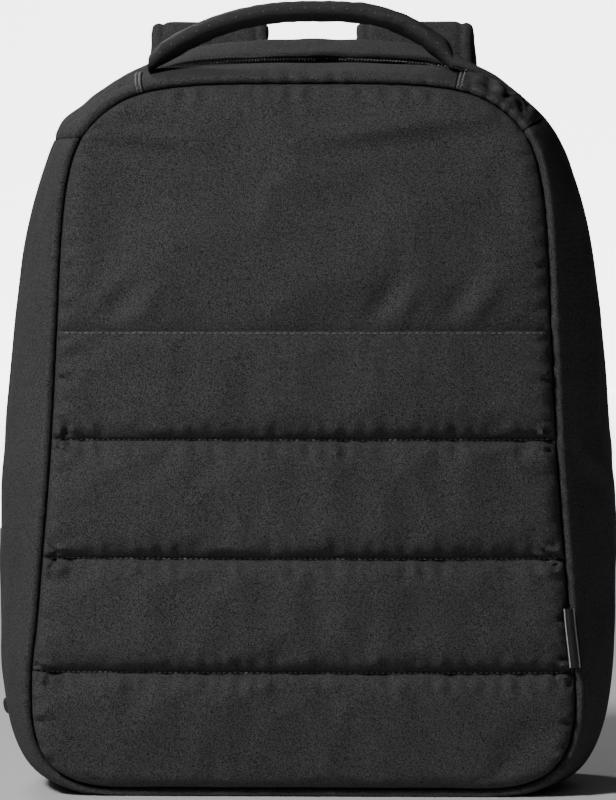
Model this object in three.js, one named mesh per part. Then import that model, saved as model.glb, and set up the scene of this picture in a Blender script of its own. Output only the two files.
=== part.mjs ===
// A laptop backpack of dark woven cloth, standing on its base: a soft front panel with a quilted pocket over its lower
// part, a gusset in sewn pieces round the sides, a zip in the groove behind it, a padded back, two padded shoulder
// straps with webbing and adjusters, a padded carry handle and a small folded loop label in the side seam.
// Millimetres. X runs across the bag to the viewer's right, Y from front to back, Z up.
import * as THREE from "three";

// Driving sizes of the bag.
const FRONT_TOP = 380; // height of the front seam at its top
const FRONT_BASE = 3.8; // height of the front seam along the base
const FRONT_HALF = 145; // half the widest stretch of the front seam
const DEPTH = 126; // front seam at the base to the back seam
const LEAN = 24; // how far the front seam leans back by its top
const LEAN_CURVE = 1.6; // how much of that lean is gathered towards the top: 1 for none
const FLARE = 25; // how far the gusset swells out past its rolled edge at its fullest
const FLANK_CURVE = 2.2; // how much of that swell comes in the flank's first part: 1 for none
const REAR_SHARE = 0.35; // how far the flare has gone over to its size at the back by the zip's rear edge
const CLOTH = 2; // wall of cloth with its thin padding
const PRESSED = 0.8; // the same under the bag, where it stands on the floor
const GAP = 0.2; // a sewn edge stays this far from the seam line, so two edges are twice as far apart
const SEAT = 0.35; // clearance under a piece that lies on another
const ROLL = 5.5; // width of the rolled edge beside the front seam
const TURN_IN = 5; // seam allowance turned into the bag
const BACK_ROLL = 4; // radius of the rounded edge beside the back seam

// Front panel and quilted pocket.
const EDGE_RISE = 6; // how far the front stands forward of its seam right beside it
const EDGE_RUN = 9; // how far in from the seam that rise takes
const CROWN = 12; // extra swell at the middle of the front
const QUILT = 5; // depth of a quilting groove
const PUFF_RUN = 22; // how far from its line a quilted channel takes to its full height
const HEM_PAD = 1; // how much thicker the pocket is at its hem than plain cloth
const HEM_PROUD = 0.5; // how far the pocket's hem stands ahead of the panel above
const HEM_CLEAR = 1.2; // height left between the hem and the step in the panel behind it
const HEM_DEPTH = 16; // depth of the hem's band
const HEM_FOLD = 6; // from its top down to its first row
const HEM_SINK = 30; // how far above the hem the panel starts to sink behind it

// Zip.
const ZIP_SHARE = 0.58; // place of the zip, as a share of the gusset's depth
const ZIP_GAP = 6.5; // between the two edges of the gusset, where the coil shows
const ZIP_TAPE = 1; // thickness of the tape
const ZIP_DROP = 0.8; // clearance between the tape and the cloth over it
const TAPE_MARGIN = 6; // width of tape hidden behind each edge
const COIL_WIDTH = 4.4;
const COIL_RISE = 1.6;
const ZIP_END = 3.7; // outline station where the tape ends, on either side
const SLIDER = { station: 5.08, width: 5.6, rise: 3.6, length: 8, pull: 12, pullRise: 1.2, pullWidth: 5 };

// Back panel.
const BACK_PAD = 8; // how far the back padding stands out from its seam
const BACK_WALL = 5; // padded cloth of the back at its middle
const BACK_QUILT = 4; // depth of its quilting grooves
const BACK_QUILT_RUN = 14;

// Carry handle. left and right: its ends, across from the bag's middle. crest: its highest place, across. rise: its
// top over the front seam's.
const HANDLE = { left: 85, right: 79.5, crest: 7, rise: 46, width: 27, thick: 11.5, endThick: 9, depthShare: 0.47 };
const ARCH_CURVE = 2.6; // how flat its arch is along the middle: 2 for a plain parabola
const HANDLE_TAPER = 0.1; // share of each half over which it thins to its end
const CROSS_CLEAR = 1; // between an end of the handle and its cross seam

// Shoulder straps, webbing, adjusters and tabs.
const STRAP = { apart: 57, width: 66, thick: 11, reach: 231, standOff: 34 };
const WEBBING = { width: 25, thick: 1.3 };
const ADJUSTER = { height: 25, bar: 3.8, thick: 4, side: 3.4, margin: 0.7, lead: 13, tail: 62, fall: 5, pass: 8 };
const TAB = { inset: 16, height: 62, base: 48, thick: 2, length: 46, margin: 1 };

// Loop label in the right side seam.
const LABEL = { height: 31, reach: 13, half: 4, root: 1.1, slit: 0.2, cloth: 0.9, forward: 2, bottom: 69.5 };

// Half outline of the bag, from the middle of the base up the right side to the middle of the top.
// across: share of FRONT_HALF. up: share of the height between FRONT_BASE and FRONT_TOP. flare and
// rear: share of FLARE that the gusset has at the zip and at the back. zip: 1 where the zip's gap is open.
const OUTLINE = [
  { name: "base middle", across: 0, up: 0, flare: 0, rear: 0, zip: 0 },
  { name: "base", across: 0.48, up: 0, flare: 0, rear: 0, zip: 0 },
  { name: "base end", across: 0.73, up: 0.001, flare: 0.02, rear: 0.02, zip: 0 },
  { name: "corner start", across: 0.86, up: 0.013, flare: 0.2, rear: 0.24, zip: 0 },
  { name: "corner", across: 0.947, up: 0.04, flare: 0.4, rear: 0.42, zip: 1 },
  { name: "corner end", across: 0.993, up: 0.087, flare: 0.51, rear: 0.52, zip: 1 },
  { name: "low side", across: 1, up: 0.161, flare: 0.66, rear: 0.67, zip: 1 },
  { name: "label", across: 0.98, up: 0.238, flare: 0.82, rear: 0.82, zip: 1 },
  { name: "fullest", across: 0.961, up: 0.331, flare: 0.94, rear: 0.92, zip: 1 },
  { name: "middle", across: 0.935, up: 0.464, flare: 1.01, rear: 0.97, zip: 1 },
  { name: "hem", across: 0.914, up: 0.636, flare: 0.94, rear: 0.91, zip: 1 },
  { name: "high side", across: 0.898, up: 0.782, flare: 0.75, rear: 0.73, zip: 1 },
  { name: "below shoulder", across: 0.875, up: 0.862, flare: 0.55, rear: 0.56, zip: 1 },
  { name: "shoulder", across: 0.832, up: 0.916, flare: 0.44, rear: 0.46, zip: 1 },
  { name: "above shoulder", across: 0.742, up: 0.958, flare: 0.34, rear: 0.42, zip: 1 },
  { name: "top end", across: 0.604, up: 0.986, flare: 0.34, rear: 0.58, zip: 1 },
  { name: "top", across: 0.38, up: 0.998, flare: 0.3, rear: 0.84, zip: 1 },
  { name: "top middle", across: 0, up: 1, flare: 0.32, rear: 0.93, zip: 1 },
];
const TOP = OUTLINE.length - 1; // stations run from 0 at the base to TOP, and are negative on the left side
const BASE_CORNER = 4;
const SHOULDER = 13.35; // the side gusset ends here and the shoulder piece starts

// Quilting lines of the pocket and its hem, and the lines of the back, as shares of the panel's height.
const POCKET_LINES = [0.165, 0.326, 0.494];
const POCKET_TOP = 0.648;
const BACK_LINES = [0.34, 0.66];
const LEVEL_RUN = 0.12; // how far from its ends a panel's rows are level, in the same shares

// Wrinkles of the upper front panel. across and up: middle of the wrinkle on the panel. long and wide: its reach as
// shares of the panel's width and height. rise: share of WRINKLE, below 0 for a dent. turn: degrees from level.
const WRINKLE = 2.5;
const WRINKLES = [
  { name: "upper left ridge", across: 0.2, up: 0.9, long: 0.16, wide: 0.02, rise: 0.8, turn: -4 },
  { name: "upper left dent", across: 0.24, up: 0.93, long: 0.2, wide: 0.022, rise: -0.7, turn: -6 },
  { name: "upper right crease", across: 0.76, up: 0.9, long: 0.2, wide: 0.024, rise: 0.9, turn: 12 },
  { name: "upper right dent", across: 0.84, up: 0.87, long: 0.14, wide: 0.025, rise: -0.7, turn: 20 },
  { name: "hem dent left", across: 0.2, up: 0.69, long: 0.07, wide: 0.03, rise: -0.9, turn: 60 },
  { name: "hem dent right", across: 0.7, up: 0.69, long: 0.08, wide: 0.03, rise: -1, turn: 70 },
];

// Gathers of the shoulder pieces. at: share of the way from the side's end to the cross seam. spread: half the
// fold's width in the same share. rise: share of GATHER, below 0 for a hollow.
const GATHER = 2.2;
const GATHERS = {
  left: [
    { name: "lap", at: 0.1, spread: 0.12, rise: 0.8 },
    { name: "hollow", at: 0.34, spread: 0.14, rise: -0.5 },
    { name: "soft fold", at: 0.72, spread: 0.16, rise: 0.5 },
  ],
  right: [
    { name: "low fold", at: 0.12, spread: 0.1, rise: 0.8 },
    { name: "low hollow", at: 0.3, spread: 0.09, rise: -0.9 },
    { name: "middle fold", at: 0.48, spread: 0.1, rise: 1 },
    { name: "high hollow", at: 0.66, spread: 0.08, rise: -0.9 },
    { name: "high fold", at: 0.84, spread: 0.09, rise: 0.8 },
  ],
};

// A shoulder strap from its seam on the back to its lower end. up: height over the bag's top, as a share of
// STRAP.reach. out: share of STRAP.standOff that its middle stands off the back. apart, width and thick: shares of
// the like-named sizes.
const STRAP_ROWS = [
  { name: "seam end", up: -0.15, out: 0.083, apart: 1, width: 0.98, thick: 0.44 },
  { name: "seam", up: -0.1, out: 0.1, apart: 1, width: 1, thick: 0.52 },
  { name: "rise", up: -0.035, out: 0.19, apart: 1, width: 1, thick: 0.8 },
  { name: "crest", up: 0.027, out: 0.46, apart: 1.01, width: 1, thick: 0.9 },
  { name: "over", up: -0.026, out: 0.77, apart: 1.03, width: 1.02, thick: 1 },
  { name: "upper", up: -0.165, out: 0.92, apart: 1.06, width: 1.04, thick: 1 },
  { name: "chest", up: -0.52, out: 1, apart: 1.14, width: 1, thick: 1 },
  { name: "waist", up: -0.845, out: 0.95, apart: 1.32, width: 0.86, thick: 1 },
  { name: "lower", up: -1.06, out: 0.84, apart: 1.56, width: 0.7, thick: 0.95 },
  { name: "end", up: -1.147, out: 0.78, apart: 1.68, width: 0.6, thick: 0.6 },
];

// Places of the sections along each form: up the sides as shares of their height, beside a seam as shares of
// EDGE_RUN, and as counts.
const LOW_SHARES = [0, 0.012, 0.03, 0.065, 0.12];
const MIDDLE_SHARES = [0.17, 0.25, 0.34, 0.44, 0.54, 0.64, 0.73, 0.81];
const HIGH_SHARES = [0.87, 0.91, 0.945, 0.975, 1];
const NEAR_SHARES = [0, 0.3, 1];
const STEPS = { across: 8, arc: 4, flank: 4, rear: 3, backArc: 2, gathers: 12, strap: 2, handle: 16, round: 10, loop: 6 };

const cloth = { color: 0x313131, roughness: 0.88, metalness: 0 };
const backCloth = { color: 0x262626, roughness: 0.95, metalness: 0 };
const webbingCloth = { color: 0x191919, roughness: 0.75, metalness: 0 };
const plastic = { color: 0x0d0d0d, roughness: 0.42, metalness: 0 };
const coilPlastic = { color: 0x151515, roughness: 0.5, metalness: 0 };
const ribbonCloth = { color: 0x0a0a0a, roughness: 0.35, metalness: 0 };

const { lerp, clamp } = THREE.MathUtils;
const vec = (x, y, z) => new THREE.Vector3(x, y, z);

// Closed meshes from rows of points.

// A closed mesh from points and triangles, turned to face out. Points in one place become one.
function closedGeometry(points, triangles) {
  const places = new Map();
  const kept = [];
  const index = points.map((p) => {
    const key = p.toArray().map((value) => Math.round(value * 1000)).join();
    if (!places.has(key)) {
      places.set(key, kept.length);
      kept.push(p);
    }
    return places.get(key);
  });
  const joined = triangles.map((t) => t.map((i) => index[i]));
  const faces = joined.filter(([a, b, c]) => a !== b && b !== c && c !== a);
  let volume = 0;
  for (const [a, b, c] of faces) {
    volume += kept[a].dot(kept[b].clone().cross(kept[c]));
  }
  const outward = volume < 0 ? faces.map(([a, b, c]) => [a, c, b]) : faces;
  const geometry = new THREE.BufferGeometry();
  geometry.setAttribute("position", new THREE.Float32BufferAttribute(kept.flatMap((p) => p.toArray()), 3));
  geometry.setIndex(outward.flat());
  geometry.computeVertexNormals();
  return geometry;
}

// A wall between two grids of points, outer[i][j] and inner[i][j]. With wraps, the last row joins the first.
function wallGeometry(outer, inner, wraps = false) {
  const rows = outer.length;
  const columns = outer[0].length;
  const at = (side, i, j) => side * rows * columns + (i % rows) * columns + j;
  const triangles = [];
  const quad = (a, b, c, d) => triangles.push([a, b, c], [a, c, d]);
  const last = { row: rows - 1, column: columns - 1 };
  for (let i = 0; i < (wraps ? rows : rows - 1); i++) {
    for (let j = 0; j < columns - 1; j++) {
      quad(at(0, i, j), at(0, i + 1, j), at(0, i + 1, j + 1), at(0, i, j + 1));
      quad(at(1, i, j), at(1, i, j + 1), at(1, i + 1, j + 1), at(1, i + 1, j));
    }
    quad(at(0, i, 0), at(1, i, 0), at(1, i + 1, 0), at(0, i + 1, 0));
    quad(at(0, i, last.column), at(0, i + 1, last.column), at(1, i + 1, last.column), at(1, i, last.column));
  }
  for (let j = 0; !wraps && j < columns - 1; j++) {
    quad(at(0, 0, j), at(0, 0, j + 1), at(1, 0, j + 1), at(1, 0, j));
    quad(at(0, last.row, j), at(1, last.row, j), at(1, last.row, j + 1), at(0, last.row, j + 1));
  }
  return closedGeometry([...outer.flat(), ...inner.flat()], triangles);
}

// A solid lofted through sections with the same number of points. cap lists the triangles of a section; a convex one
// is a fan.
function loftGeometry(sections, cap) {
  const count = sections[0].length;
  const end = (sections.length - 1) * count;
  const fan = Array.from({ length: count - 2 }, (_, j) => [0, j + 1, j + 2]);
  const triangles = [];
  for (let i = 0; i < sections.length - 1; i++) {
    for (let j = 0; j < count; j++) {
      const next = (j + 1) % count;
      const [a, b] = [i * count, (i + 1) * count];
      triangles.push([a + j, b + j, b + next], [a + j, b + next, a + next]);
    }
  }
  for (const [a, b, c] of cap ?? fan) {
    triangles.push([a, b, c], [end + a, end + c, end + b]);
  }
  return closedGeometry(sections.flat(), triangles);
}

// The same form on the other side of the bag.
function mirrorImage(geometry) {
  const positions = geometry.getAttribute("position");
  const points = Array.from({ length: positions.count }, (_, i) => vec(0, 0, 0).fromBufferAttribute(positions, i));
  const order = geometry.index ? Array.from(geometry.index.array) : points.map((_, i) => i);
  const triangles = Array.from({ length: order.length / 3 }, (_, i) => order.slice(3 * i, 3 * i + 3));
  return closedGeometry(points.map(({ x, y, z }) => vec(-x, y, z)), triangles);
}

// Directions along a path of rows { at, side }: along it, across it near side, and square to both.
function pathFrames(rows) {
  return rows.map((row, i) => {
    const before = rows[Math.max(i - 1, 0)].at;
    const after = rows[Math.min(i + 1, rows.length - 1)].at;
    const along = after.clone().sub(before).normalize();
    const face = along.clone().cross(row.side).normalize();
    return { along, face, across: face.clone().cross(along) };
  });
}

// A flat band along a path of rows { at, side, width, thick }, with its ends cut along side.
function bandGeometry(rows) {
  const frames = pathFrames(rows);
  const sections = rows.map(({ at, side, width, thick }, i) =>
    [[-1, -1], [1, -1], [1, 1], [-1, 1]].map(([a, b]) =>
      at.clone().addScaledVector(side, (a * width) / 2).addScaledVector(frames[i].face, (b * thick) / 2),
    ),
  );
  return loftGeometry(sections);
}

// A smooth curve through b and c, with a before them and d after, at t from 0 at b to 1 at c.
function curve(a, b, c, d, t) {
  return 0.5 * (2 * b + (c - a) * t + (2 * a - 5 * b + 4 * c - d) * t * t + (3 * b - a - 3 * c + d) * t ** 3);
}

// The place where a rising function reaches a target.
function solve(low, high, target, value) {
  let [a, b] = [low, high];
  for (let k = 0; k < 40; k++) {
    const middle = (a + b) / 2;
    if (value(middle) < target) a = middle;
    else b = middle;
  }
  return (a + b) / 2;
}

// Outline of the bag: the front seam, and directions square to it.

const seamDepth = (z) => -DEPTH / 2 + LEAN * (Math.max(z, 0) / FRONT_TOP) ** LEAN_CURVE;

// Stations past the middle of the top run on down the other side.
function wrapStation(s) {
  if (s > TOP) return s - 2 * TOP;
  return s < -TOP ? s + 2 * TOP : s;
}

// A column of OUTLINE at a station. The bag is alike on both sides, so the table is mirrored past its ends, with the
// sign changed for a length across.
function outlineValue(key, station, mirror = 1) {
  const value = (i) => {
    if (i < 0) return mirror * OUTLINE[-i][key];
    return i > TOP ? mirror * OUTLINE[2 * TOP - i][key] : OUTLINE[i][key];
  };
  const place = Math.abs(wrapStation(station));
  const i = Math.min(Math.floor(place), TOP - 1);
  return curve(value(i - 1), value(i), value(i + 1), value(i + 2), place - i);
}

function seamPoint(station) {
  const x = Math.sign(wrapStation(station)) * FRONT_HALF * outlineValue("across", station, -1);
  return { x, z: lerp(FRONT_BASE, FRONT_TOP, outlineValue("up", station)) };
}

// The seam at a station with its outward direction in the XZ plane.
function seamFrame(station) {
  const step = 0.05;
  const [before, after] = [seamPoint(station - step), seamPoint(station + step)];
  const length = Math.hypot(after.x - before.x, after.z - before.z);
  return { ...seamPoint(station), nx: (after.z - before.z) / length, nz: (before.x - after.x) / length };
}

function outlinePoint(station, out) {
  const frame = seamFrame(station);
  return { x: frame.x + frame.nx * out, z: frame.z + frame.nz * out };
}

// The stations where the side reaches a share of its height or a height, and where the base or top reaches a share of
// its half width from the middle.
const lowCorner = seamPoint(BASE_CORNER);
const highCorner = seamPoint(SHOULDER);
const stationAtHeight = (z) => solve(BASE_CORNER, SHOULDER, z, (s) => seamPoint(s).z);
const rowStep = (up) => THREE.MathUtils.smoothstep(Math.min(up, 1 - up), 0, LEVEL_RUN);
// Height of a row of a panel at a place whose base and top have the heights low and high. Rows are level in the middle
// of a panel, between the heights base and top of its middle, and follow the corners near its ends.
const rowHeight = (up, low, high, base, top) => lerp(lerp(low, high, up), lerp(base, top, up), rowStep(up));
const sideStation = (up) => stationAtHeight(rowHeight(up, lowCorner.z, highCorner.z, FRONT_BASE, FRONT_TOP));
const baseStation = (share) => solve(0, BASE_CORNER, share * lowCorner.x, (s) => seamPoint(s).x);
const topStation = (share) => -solve(-TOP, -SHOULDER, share * highCorner.x, (s) => seamPoint(-s).x);
const topStationAtX = (x) => topStation(x / highCorner.x);

// Gussets.

const frontOut = (station) => ROLL + FLARE * outlineValue("flare", station);
const rearOut = (station) => ROLL + FLARE * outlineValue("rear", station);
const rearStart = (station) => lerp(frontOut(station), rearOut(station), REAR_SHARE);
const backSeamOut = (station) => rearOut(station) - BACK_ROLL;
const zipDepth = (seam) => lerp(seam, DEPTH / 2, ZIP_SHARE);
const halfGap = (station) => lerp(GAP, ZIP_GAP / 2, clamp(outlineValue("zip", station), 0, 1));

// Moves a row of {depth, out} points to the inner side of a wall.
function offsetRow(row, wall) {
  return row.map((point, i) => {
    const a = row[Math.max(i - 1, 0)];
    const b = row[Math.min(i + 1, row.length - 1)];
    const length = Math.hypot(b.depth - a.depth, b.out - a.out);
    const [along, across] = [(b.depth - a.depth) / length, (b.out - a.out) / length];
    return { depth: point.depth + across * wall, out: point.out - along * wall };
  });
}

// How far out the front gusset is at a share of the way from the seam to the zip.
const flankOut = (station, share) => lerp(ROLL, frontOut(station), 1 - (1 - share) ** FLANK_CURVE);

// Section of the front gusset at a station, from its turned-in edge round the roll and along the flank to the zip.
// fold lifts the flank.
function frontSection(station, seam, fold = 0) {
  const radius = (ROLL - GAP) / 2;
  const end = zipDepth(seam) - halfGap(station);
  const outer = [{ depth: seam + TURN_IN, out: GAP }];
  const inner = [{ depth: seam + TURN_IN, out: GAP + CLOTH }];
  for (let k = 0; k <= STEPS.arc; k++) {
    const angle = (Math.PI * k) / STEPS.arc;
    const at = (r) => ({ depth: seam - r * Math.sin(angle), out: GAP + radius - r * Math.cos(angle) });
    outer.push(at(radius));
    inner.push(at(radius - CLOTH));
  }
  const flank = [];
  for (let k = 0; k <= STEPS.flank; k++) {
    const share = k / STEPS.flank;
    const lift = fold * Math.sin(Math.PI * share) ** 2;
    flank.push({ depth: lerp(seam, end, share), out: flankOut(station, share) + lift });
  }
  outer.push(...flank.slice(1));
  inner.push(...offsetRow(flank, CLOTH).slice(1));
  return { outer, inner };
}

// Section of the rear gusset, from the zip round the rolled edge to the back seam.
function rearSection(station, seam) {
  const start = zipDepth(seam) + halfGap(station);
  const end = DEPTH / 2 - BACK_ROLL;
  const outer = [];
  for (let k = 0; k <= STEPS.rear; k++) {
    const share = k / STEPS.rear;
    const swell = Math.sin((share * Math.PI) / 2);
    outer.push({ depth: lerp(start, end, share), out: lerp(rearStart(station), rearOut(station), swell) });
  }
  for (let k = 1; k <= STEPS.backArc; k++) {
    const angle = (Math.PI / 2) * (k / STEPS.backArc);
    const out = rearOut(station) - BACK_ROLL * (1 - Math.cos(angle));
    outer.push({ depth: end + BACK_ROLL * Math.sin(angle), out });
  }
  const edge = { depth: DEPTH / 2 - CLOTH, out: backSeamOut(station) };
  return { outer, inner: [...offsetRow(outer, CLOTH).slice(0, -1), edge] };
}

// A piece of gusset through its stations. The outer side stays above the floor, and the inner side over the pressed
// cloth.
function gussetGeometry(stations, sectionAt, wraps = false) {
  const grid = (side, floor) =>
    stations.map((station) =>
      sectionAt(station, seamDepth(seamPoint(station).z))[side].map(({ depth, out }) => {
        const { x, z } = outlinePoint(station, out);
        return vec(x, depth, Math.max(z, floor));
      }),
    );
  return wallGeometry(grid("outer", 0), grid("inner", PRESSED), wraps);
}

// Places across a panel from 0 to 1, nearer together beside the seams.
const acrossShares = (() => {
  const near = NEAR_SHARES.map((share) => (share * EDGE_RUN) / (2 * FRONT_HALF));
  const rest = Array.from({ length: STEPS.across - 1 }, (_, k) => (k + 1) / STEPS.across);
  const middle = rest.map((share) => lerp(near.at(-1), 1 - near.at(-1), share));
  return [...near, ...middle, ...near.map((share) => 1 - share).reverse()];
})();

// Stations of the gusset's sections up one side, which are the same as the panels' edges have.
const halfShares = acrossShares.map((share) => 2 * share - 1).filter((share) => share > 0.001);
const sideShares = [...LOW_SHARES, ...MIDDLE_SHARES, ...HIGH_SHARES];
const rising = [
  0,
  ...halfShares.map(baseStation),
  ...sideShares.slice(1).map(sideStation),
  ...halfShares.slice(0, -1).map(topStation).reverse(),
  TOP,
];
const falling = rising.map((s) => -s).reverse();

// Stations within a stretch, with its two ends.
function stretch(first, last) {
  const all = [...falling, ...rising.slice(1), ...falling.slice(1).map((s) => s + 2 * TOP)];
  const near = 0.02;
  return [first, ...all.filter((s) => s > first + near && s < last - near), last];
}

// Half the sewing gap between two gusset pieces, in stations.
function gapStations(station) {
  const step = 0.1;
  const [a, b] = [seamPoint(station), seamPoint(station + step)];
  return (step * GAP) / Math.hypot(b.x - a.x, b.z - a.z);
}

const leftCross = 2 * TOP - topStationAtX(HANDLE.left + CROSS_CLEAR);
const rightCross = topStationAtX(HANDLE.right + CROSS_CLEAR);

function lowerGusset() {
  const end = SHOULDER - gapStations(SHOULDER);
  return gussetGeometry(stretch(-end, end), frontSection);
}

function topGusset() {
  const gap = gapStations(rightCross);
  return gussetGeometry(stretch(rightCross + gap, leftCross - gap), frontSection);
}

// A shoulder piece between the side gusset and the cross seam, with its gathers. side is 1 on the right.
function shoulderGusset(first, last, gathers, side) {
  const [start, end] = [first + gapStations(first), last - gapStations(last)];
  const stations = stretch(start, end);
  for (let k = 1; k < STEPS.gathers; k++) {
    const station = lerp(start, end, k / STEPS.gathers);
    if (stations.every((s) => Math.abs(s - station) > 0.05)) stations.push(station);
  }
  stations.sort((a, b) => a - b);
  const foldAt = (station) => {
    const way = (station - start) / (end - start);
    const share = side > 0 ? way : 1 - way;
    const bells = gathers.map(({ at, spread, rise }) => rise * Math.exp(-(((share - at) / spread) ** 2)));
    const ends = Math.min(1, 8 * Math.min(share, 1 - share));
    return GATHER * ends * bells.reduce((sum, bell) => sum + bell, 0);
  };
  return gussetGeometry(stations, (station, seam) => frontSection(station, seam, foldAt(station)));
}

function rearGusset() {
  return gussetGeometry(stretch(-TOP, TOP).slice(1), rearSection, true);
}

// Zip: a tape behind both edges with the coil along its middle.

const tapeOut = (out) => out - CLOTH - ZIP_DROP;

function zipSection(station) {
  const middle = zipDepth(seamDepth(seamPoint(station).z));
  const edge = ZIP_GAP / 2 + TAPE_MARGIN;
  const point = (depth, rise) => {
    const share = clamp(0.5 + depth / COIL_WIDTH, 0, 1);
    return { depth: middle + depth, out: tapeOut(lerp(frontOut(station), rearStart(station), share)) + rise };
  };
  return [
    point(-edge, -ZIP_TAPE),
    point(-COIL_WIDTH / 2, -ZIP_TAPE),
    point(COIL_WIDTH / 2, -ZIP_TAPE),
    point(edge, -ZIP_TAPE),
    point(edge, 0),
    point(COIL_WIDTH / 2, 0),
    point(COIL_WIDTH / 4, COIL_RISE),
    point(-COIL_WIDTH / 4, COIL_RISE),
    point(-COIL_WIDTH / 2, 0),
    point(-edge, 0),
  ];
}

function zipTape() {
  const contour = zipSection(ZIP_END).map(({ depth, out }) => new THREE.Vector2(depth, out));
  const sections = stretch(ZIP_END, 2 * TOP - ZIP_END).map((station) =>
    zipSection(station).map(({ depth, out }) => {
      const { x, z } = outlinePoint(station, out);
      return vec(x, depth, z);
    }),
  );
  return loftGeometry(sections, THREE.ShapeUtils.triangulateShape(contour, []));
}

// Slider at the left end of the zip: a rounded body, and its pull lying up along the coil.
function zipSlider() {
  const stationsPerLength = gapStations(SLIDER.station) / GAP;
  const section = (along, width, topAt) => {
    const station = SLIDER.station + along * stationsPerLength;
    const middle = zipDepth(seamDepth(seamPoint(station).z));
    const bottom = tapeOut((frontOut(station) + rearStart(station)) / 2) + COIL_RISE + SEAT;
    const top = topAt(bottom, frontOut(station));
    return [[bottom, -1], [bottom, 1], [top, 0.7], [top, -0.7]].map(([out, share]) => {
      const { x, z } = outlinePoint(station, out);
      return vec(-x, middle + (share * width) / 2, z);
    });
  };
  const body = [0, 0.15, 0.5, 0.85, 1].map((share) => {
    const round = Math.sqrt(Math.max(0.04, 1 - Math.abs(2 * share - 1) ** 2.5));
    return section(share * SLIDER.length, SLIDER.width, (bottom, skin) => skin + SLIDER.rise * round);
  });
  const pull = [0.03, 0.33, 0.66, 1].map((share) =>
    section(SLIDER.length + share * SLIDER.pull, SLIDER.pullWidth, (bottom) => bottom + SLIDER.pullRise),
  );
  return loftGeometry([...body, ...pull]);
}

// Panels inside the front and back seams.

const edgeCache = new Map();
function edgeStations(across, up) {
  const key = `${across},${up}`;
  if (!edgeCache.has(key)) {
    const share = Math.abs(2 * across - 1);
    edgeCache.set(key, { side: sideStation(up), base: baseStation(share), top: topStation(share) });
  }
  return edgeCache.get(key);
}

// A place on a panel: its four edges blended between the corners. across runs from 0 at the left to 1 at the right,
// up from 0 at the base to 1 at the top, and outAt(station) is how far outside the front seam the panel's edge is.
function panelPlace(across, up, outAt) {
  const edge = (station) => outlinePoint(station, outAt(station));
  const stations = edgeStations(across, up);
  const [side, base, top] = [edge(stations.side), edge(stations.base), edge(stations.top)];
  const [low, high] = [edge(BASE_CORNER), edge(SHOULDER)];
  const [floor, roof] = [edge(0).z, edge(TOP).z];
  const share = Math.abs(2 * across - 1);
  const x = lerp(base.x, top.x, up) + share * (side.x - lerp(low.x, high.x, up));
  const atSide = share * (side.z - rowHeight(up, low.z, high.z, floor, roof));
  const z = rowHeight(up, base.z, top.z, floor, roof) + atSide;
  return { x: Math.sign(2 * across - 1) * x, z, half: side.x };
}

// How near a place on a panel is to its seams: 0 on them, 1 from EDGE_RUN in, on a quarter round that also runs round
// the corners.
function edgeShare(across, up, half) {
  const fromSide = clamp((Math.min(across, 1 - across) * 2 * half) / EDGE_RUN, 0, 1);
  const fromEnd = clamp((Math.min(up, 1 - up) * FRONT_TOP) / EDGE_RUN, 0, 1);
  const share = clamp(1 - Math.hypot(1 - fromSide, 1 - fromEnd), 0, 1);
  return Math.sqrt(1 - (1 - share) ** 2);
}

const dome = (across, up) => (1 - (2 * across - 1) ** 2) * (1 - (2 * up - 1) ** 4);

// How far down a quilting groove a place is, from 1 on its line to 0 where the channel is at its full height.
function grooveShare(up, lines, run) {
  const distance = Math.min(...lines.map((line) => Math.abs(up - line) * FRONT_TOP));
  return 1 - Math.sqrt(1 - (1 - clamp(distance / run, 0, 1)) ** 2);
}

function wrinkleRise(across, up) {
  const rises = WRINKLES.map(({ across: a, up: u, long, wide, rise, turn }) => {
    const angle = THREE.MathUtils.degToRad(turn);
    const [dx, dz] = [(across - a) * 2 * FRONT_HALF, (up - u) * FRONT_TOP];
    const along = (dx * Math.cos(angle) + dz * Math.sin(angle)) / (long * 2 * FRONT_HALF);
    const square = (dz * Math.cos(angle) - dx * Math.sin(angle)) / (wide * FRONT_TOP);
    return rise * Math.exp(-(along ** 2) - square ** 2);
  });
  return WRINKLE * rises.reduce((sum, rise) => sum + rise, 0);
}

// A panel through rows of { up, turned, face, wall, out }. face(across, up, edge) is how far the face stands off the
// seam surface, wall(edge) how thick it is, and out(station) where its edge lies. A turned row, and the first and last
// column, turn into the bag with the seam.
function panelGeometry(rows, { surface, away }) {
  const open = acrossShares.map((across) => ({ across }));
  const columns = [{ across: 0, turned: true }, ...open, { across: 1, turned: true }];
  const point = (row, column, inward) => {
    const place = panelPlace(column.across, row.up, (station) => row.out(station) - inward);
    const edge = edgeShare(column.across, row.up, place.half);
    const behind = inward > 0 ? row.wall(edge) : 0;
    const turned = row.turned || column.turned;
    const rise = turned ? -TURN_IN : row.face(column.across, row.up, edge) - behind;
    return vec(place.x, surface(place.z) + away * rise, place.z);
  };
  const grid = (inward) => rows.map((row) => columns.map((column) => point(row, column, inward)));
  return wallGeometry(grid(0), grid(CLOTH));
}

const forwardSide = { surface: seamDepth, away: -1 };
const backSide = { surface: () => DEPTH / 2, away: 1 };
const turnedRow = (row) => ({ ...row, turned: true });
const sewnEdge = () => -GAP;
const behindEdge = () => -GAP - CLOTH - SEAT;
const frontRise = (across, up, edge) => EDGE_RISE * edge + CROWN * dome(across, up);

// Padding behind the pocket's face, from its hem down.
function padding(up) {
  const below = clamp(((POCKET_TOP - up) * FRONT_TOP) / PUFF_RUN, 0, 1);
  return lerp(HEM_PAD, QUILT, Math.sqrt(below));
}
const hemShares = [HEM_DEPTH, HEM_FOLD, 0].map((below) => POCKET_TOP - below / FRONT_TOP);
const HIDDEN_SHARES = [0.25, 0.41, 0.57]; // rows of the front wall behind the pocket
const UPPER_SHARES = [0.675, 0.71, 0.76, 0.82]; // rows of the plain panel above it

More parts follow.
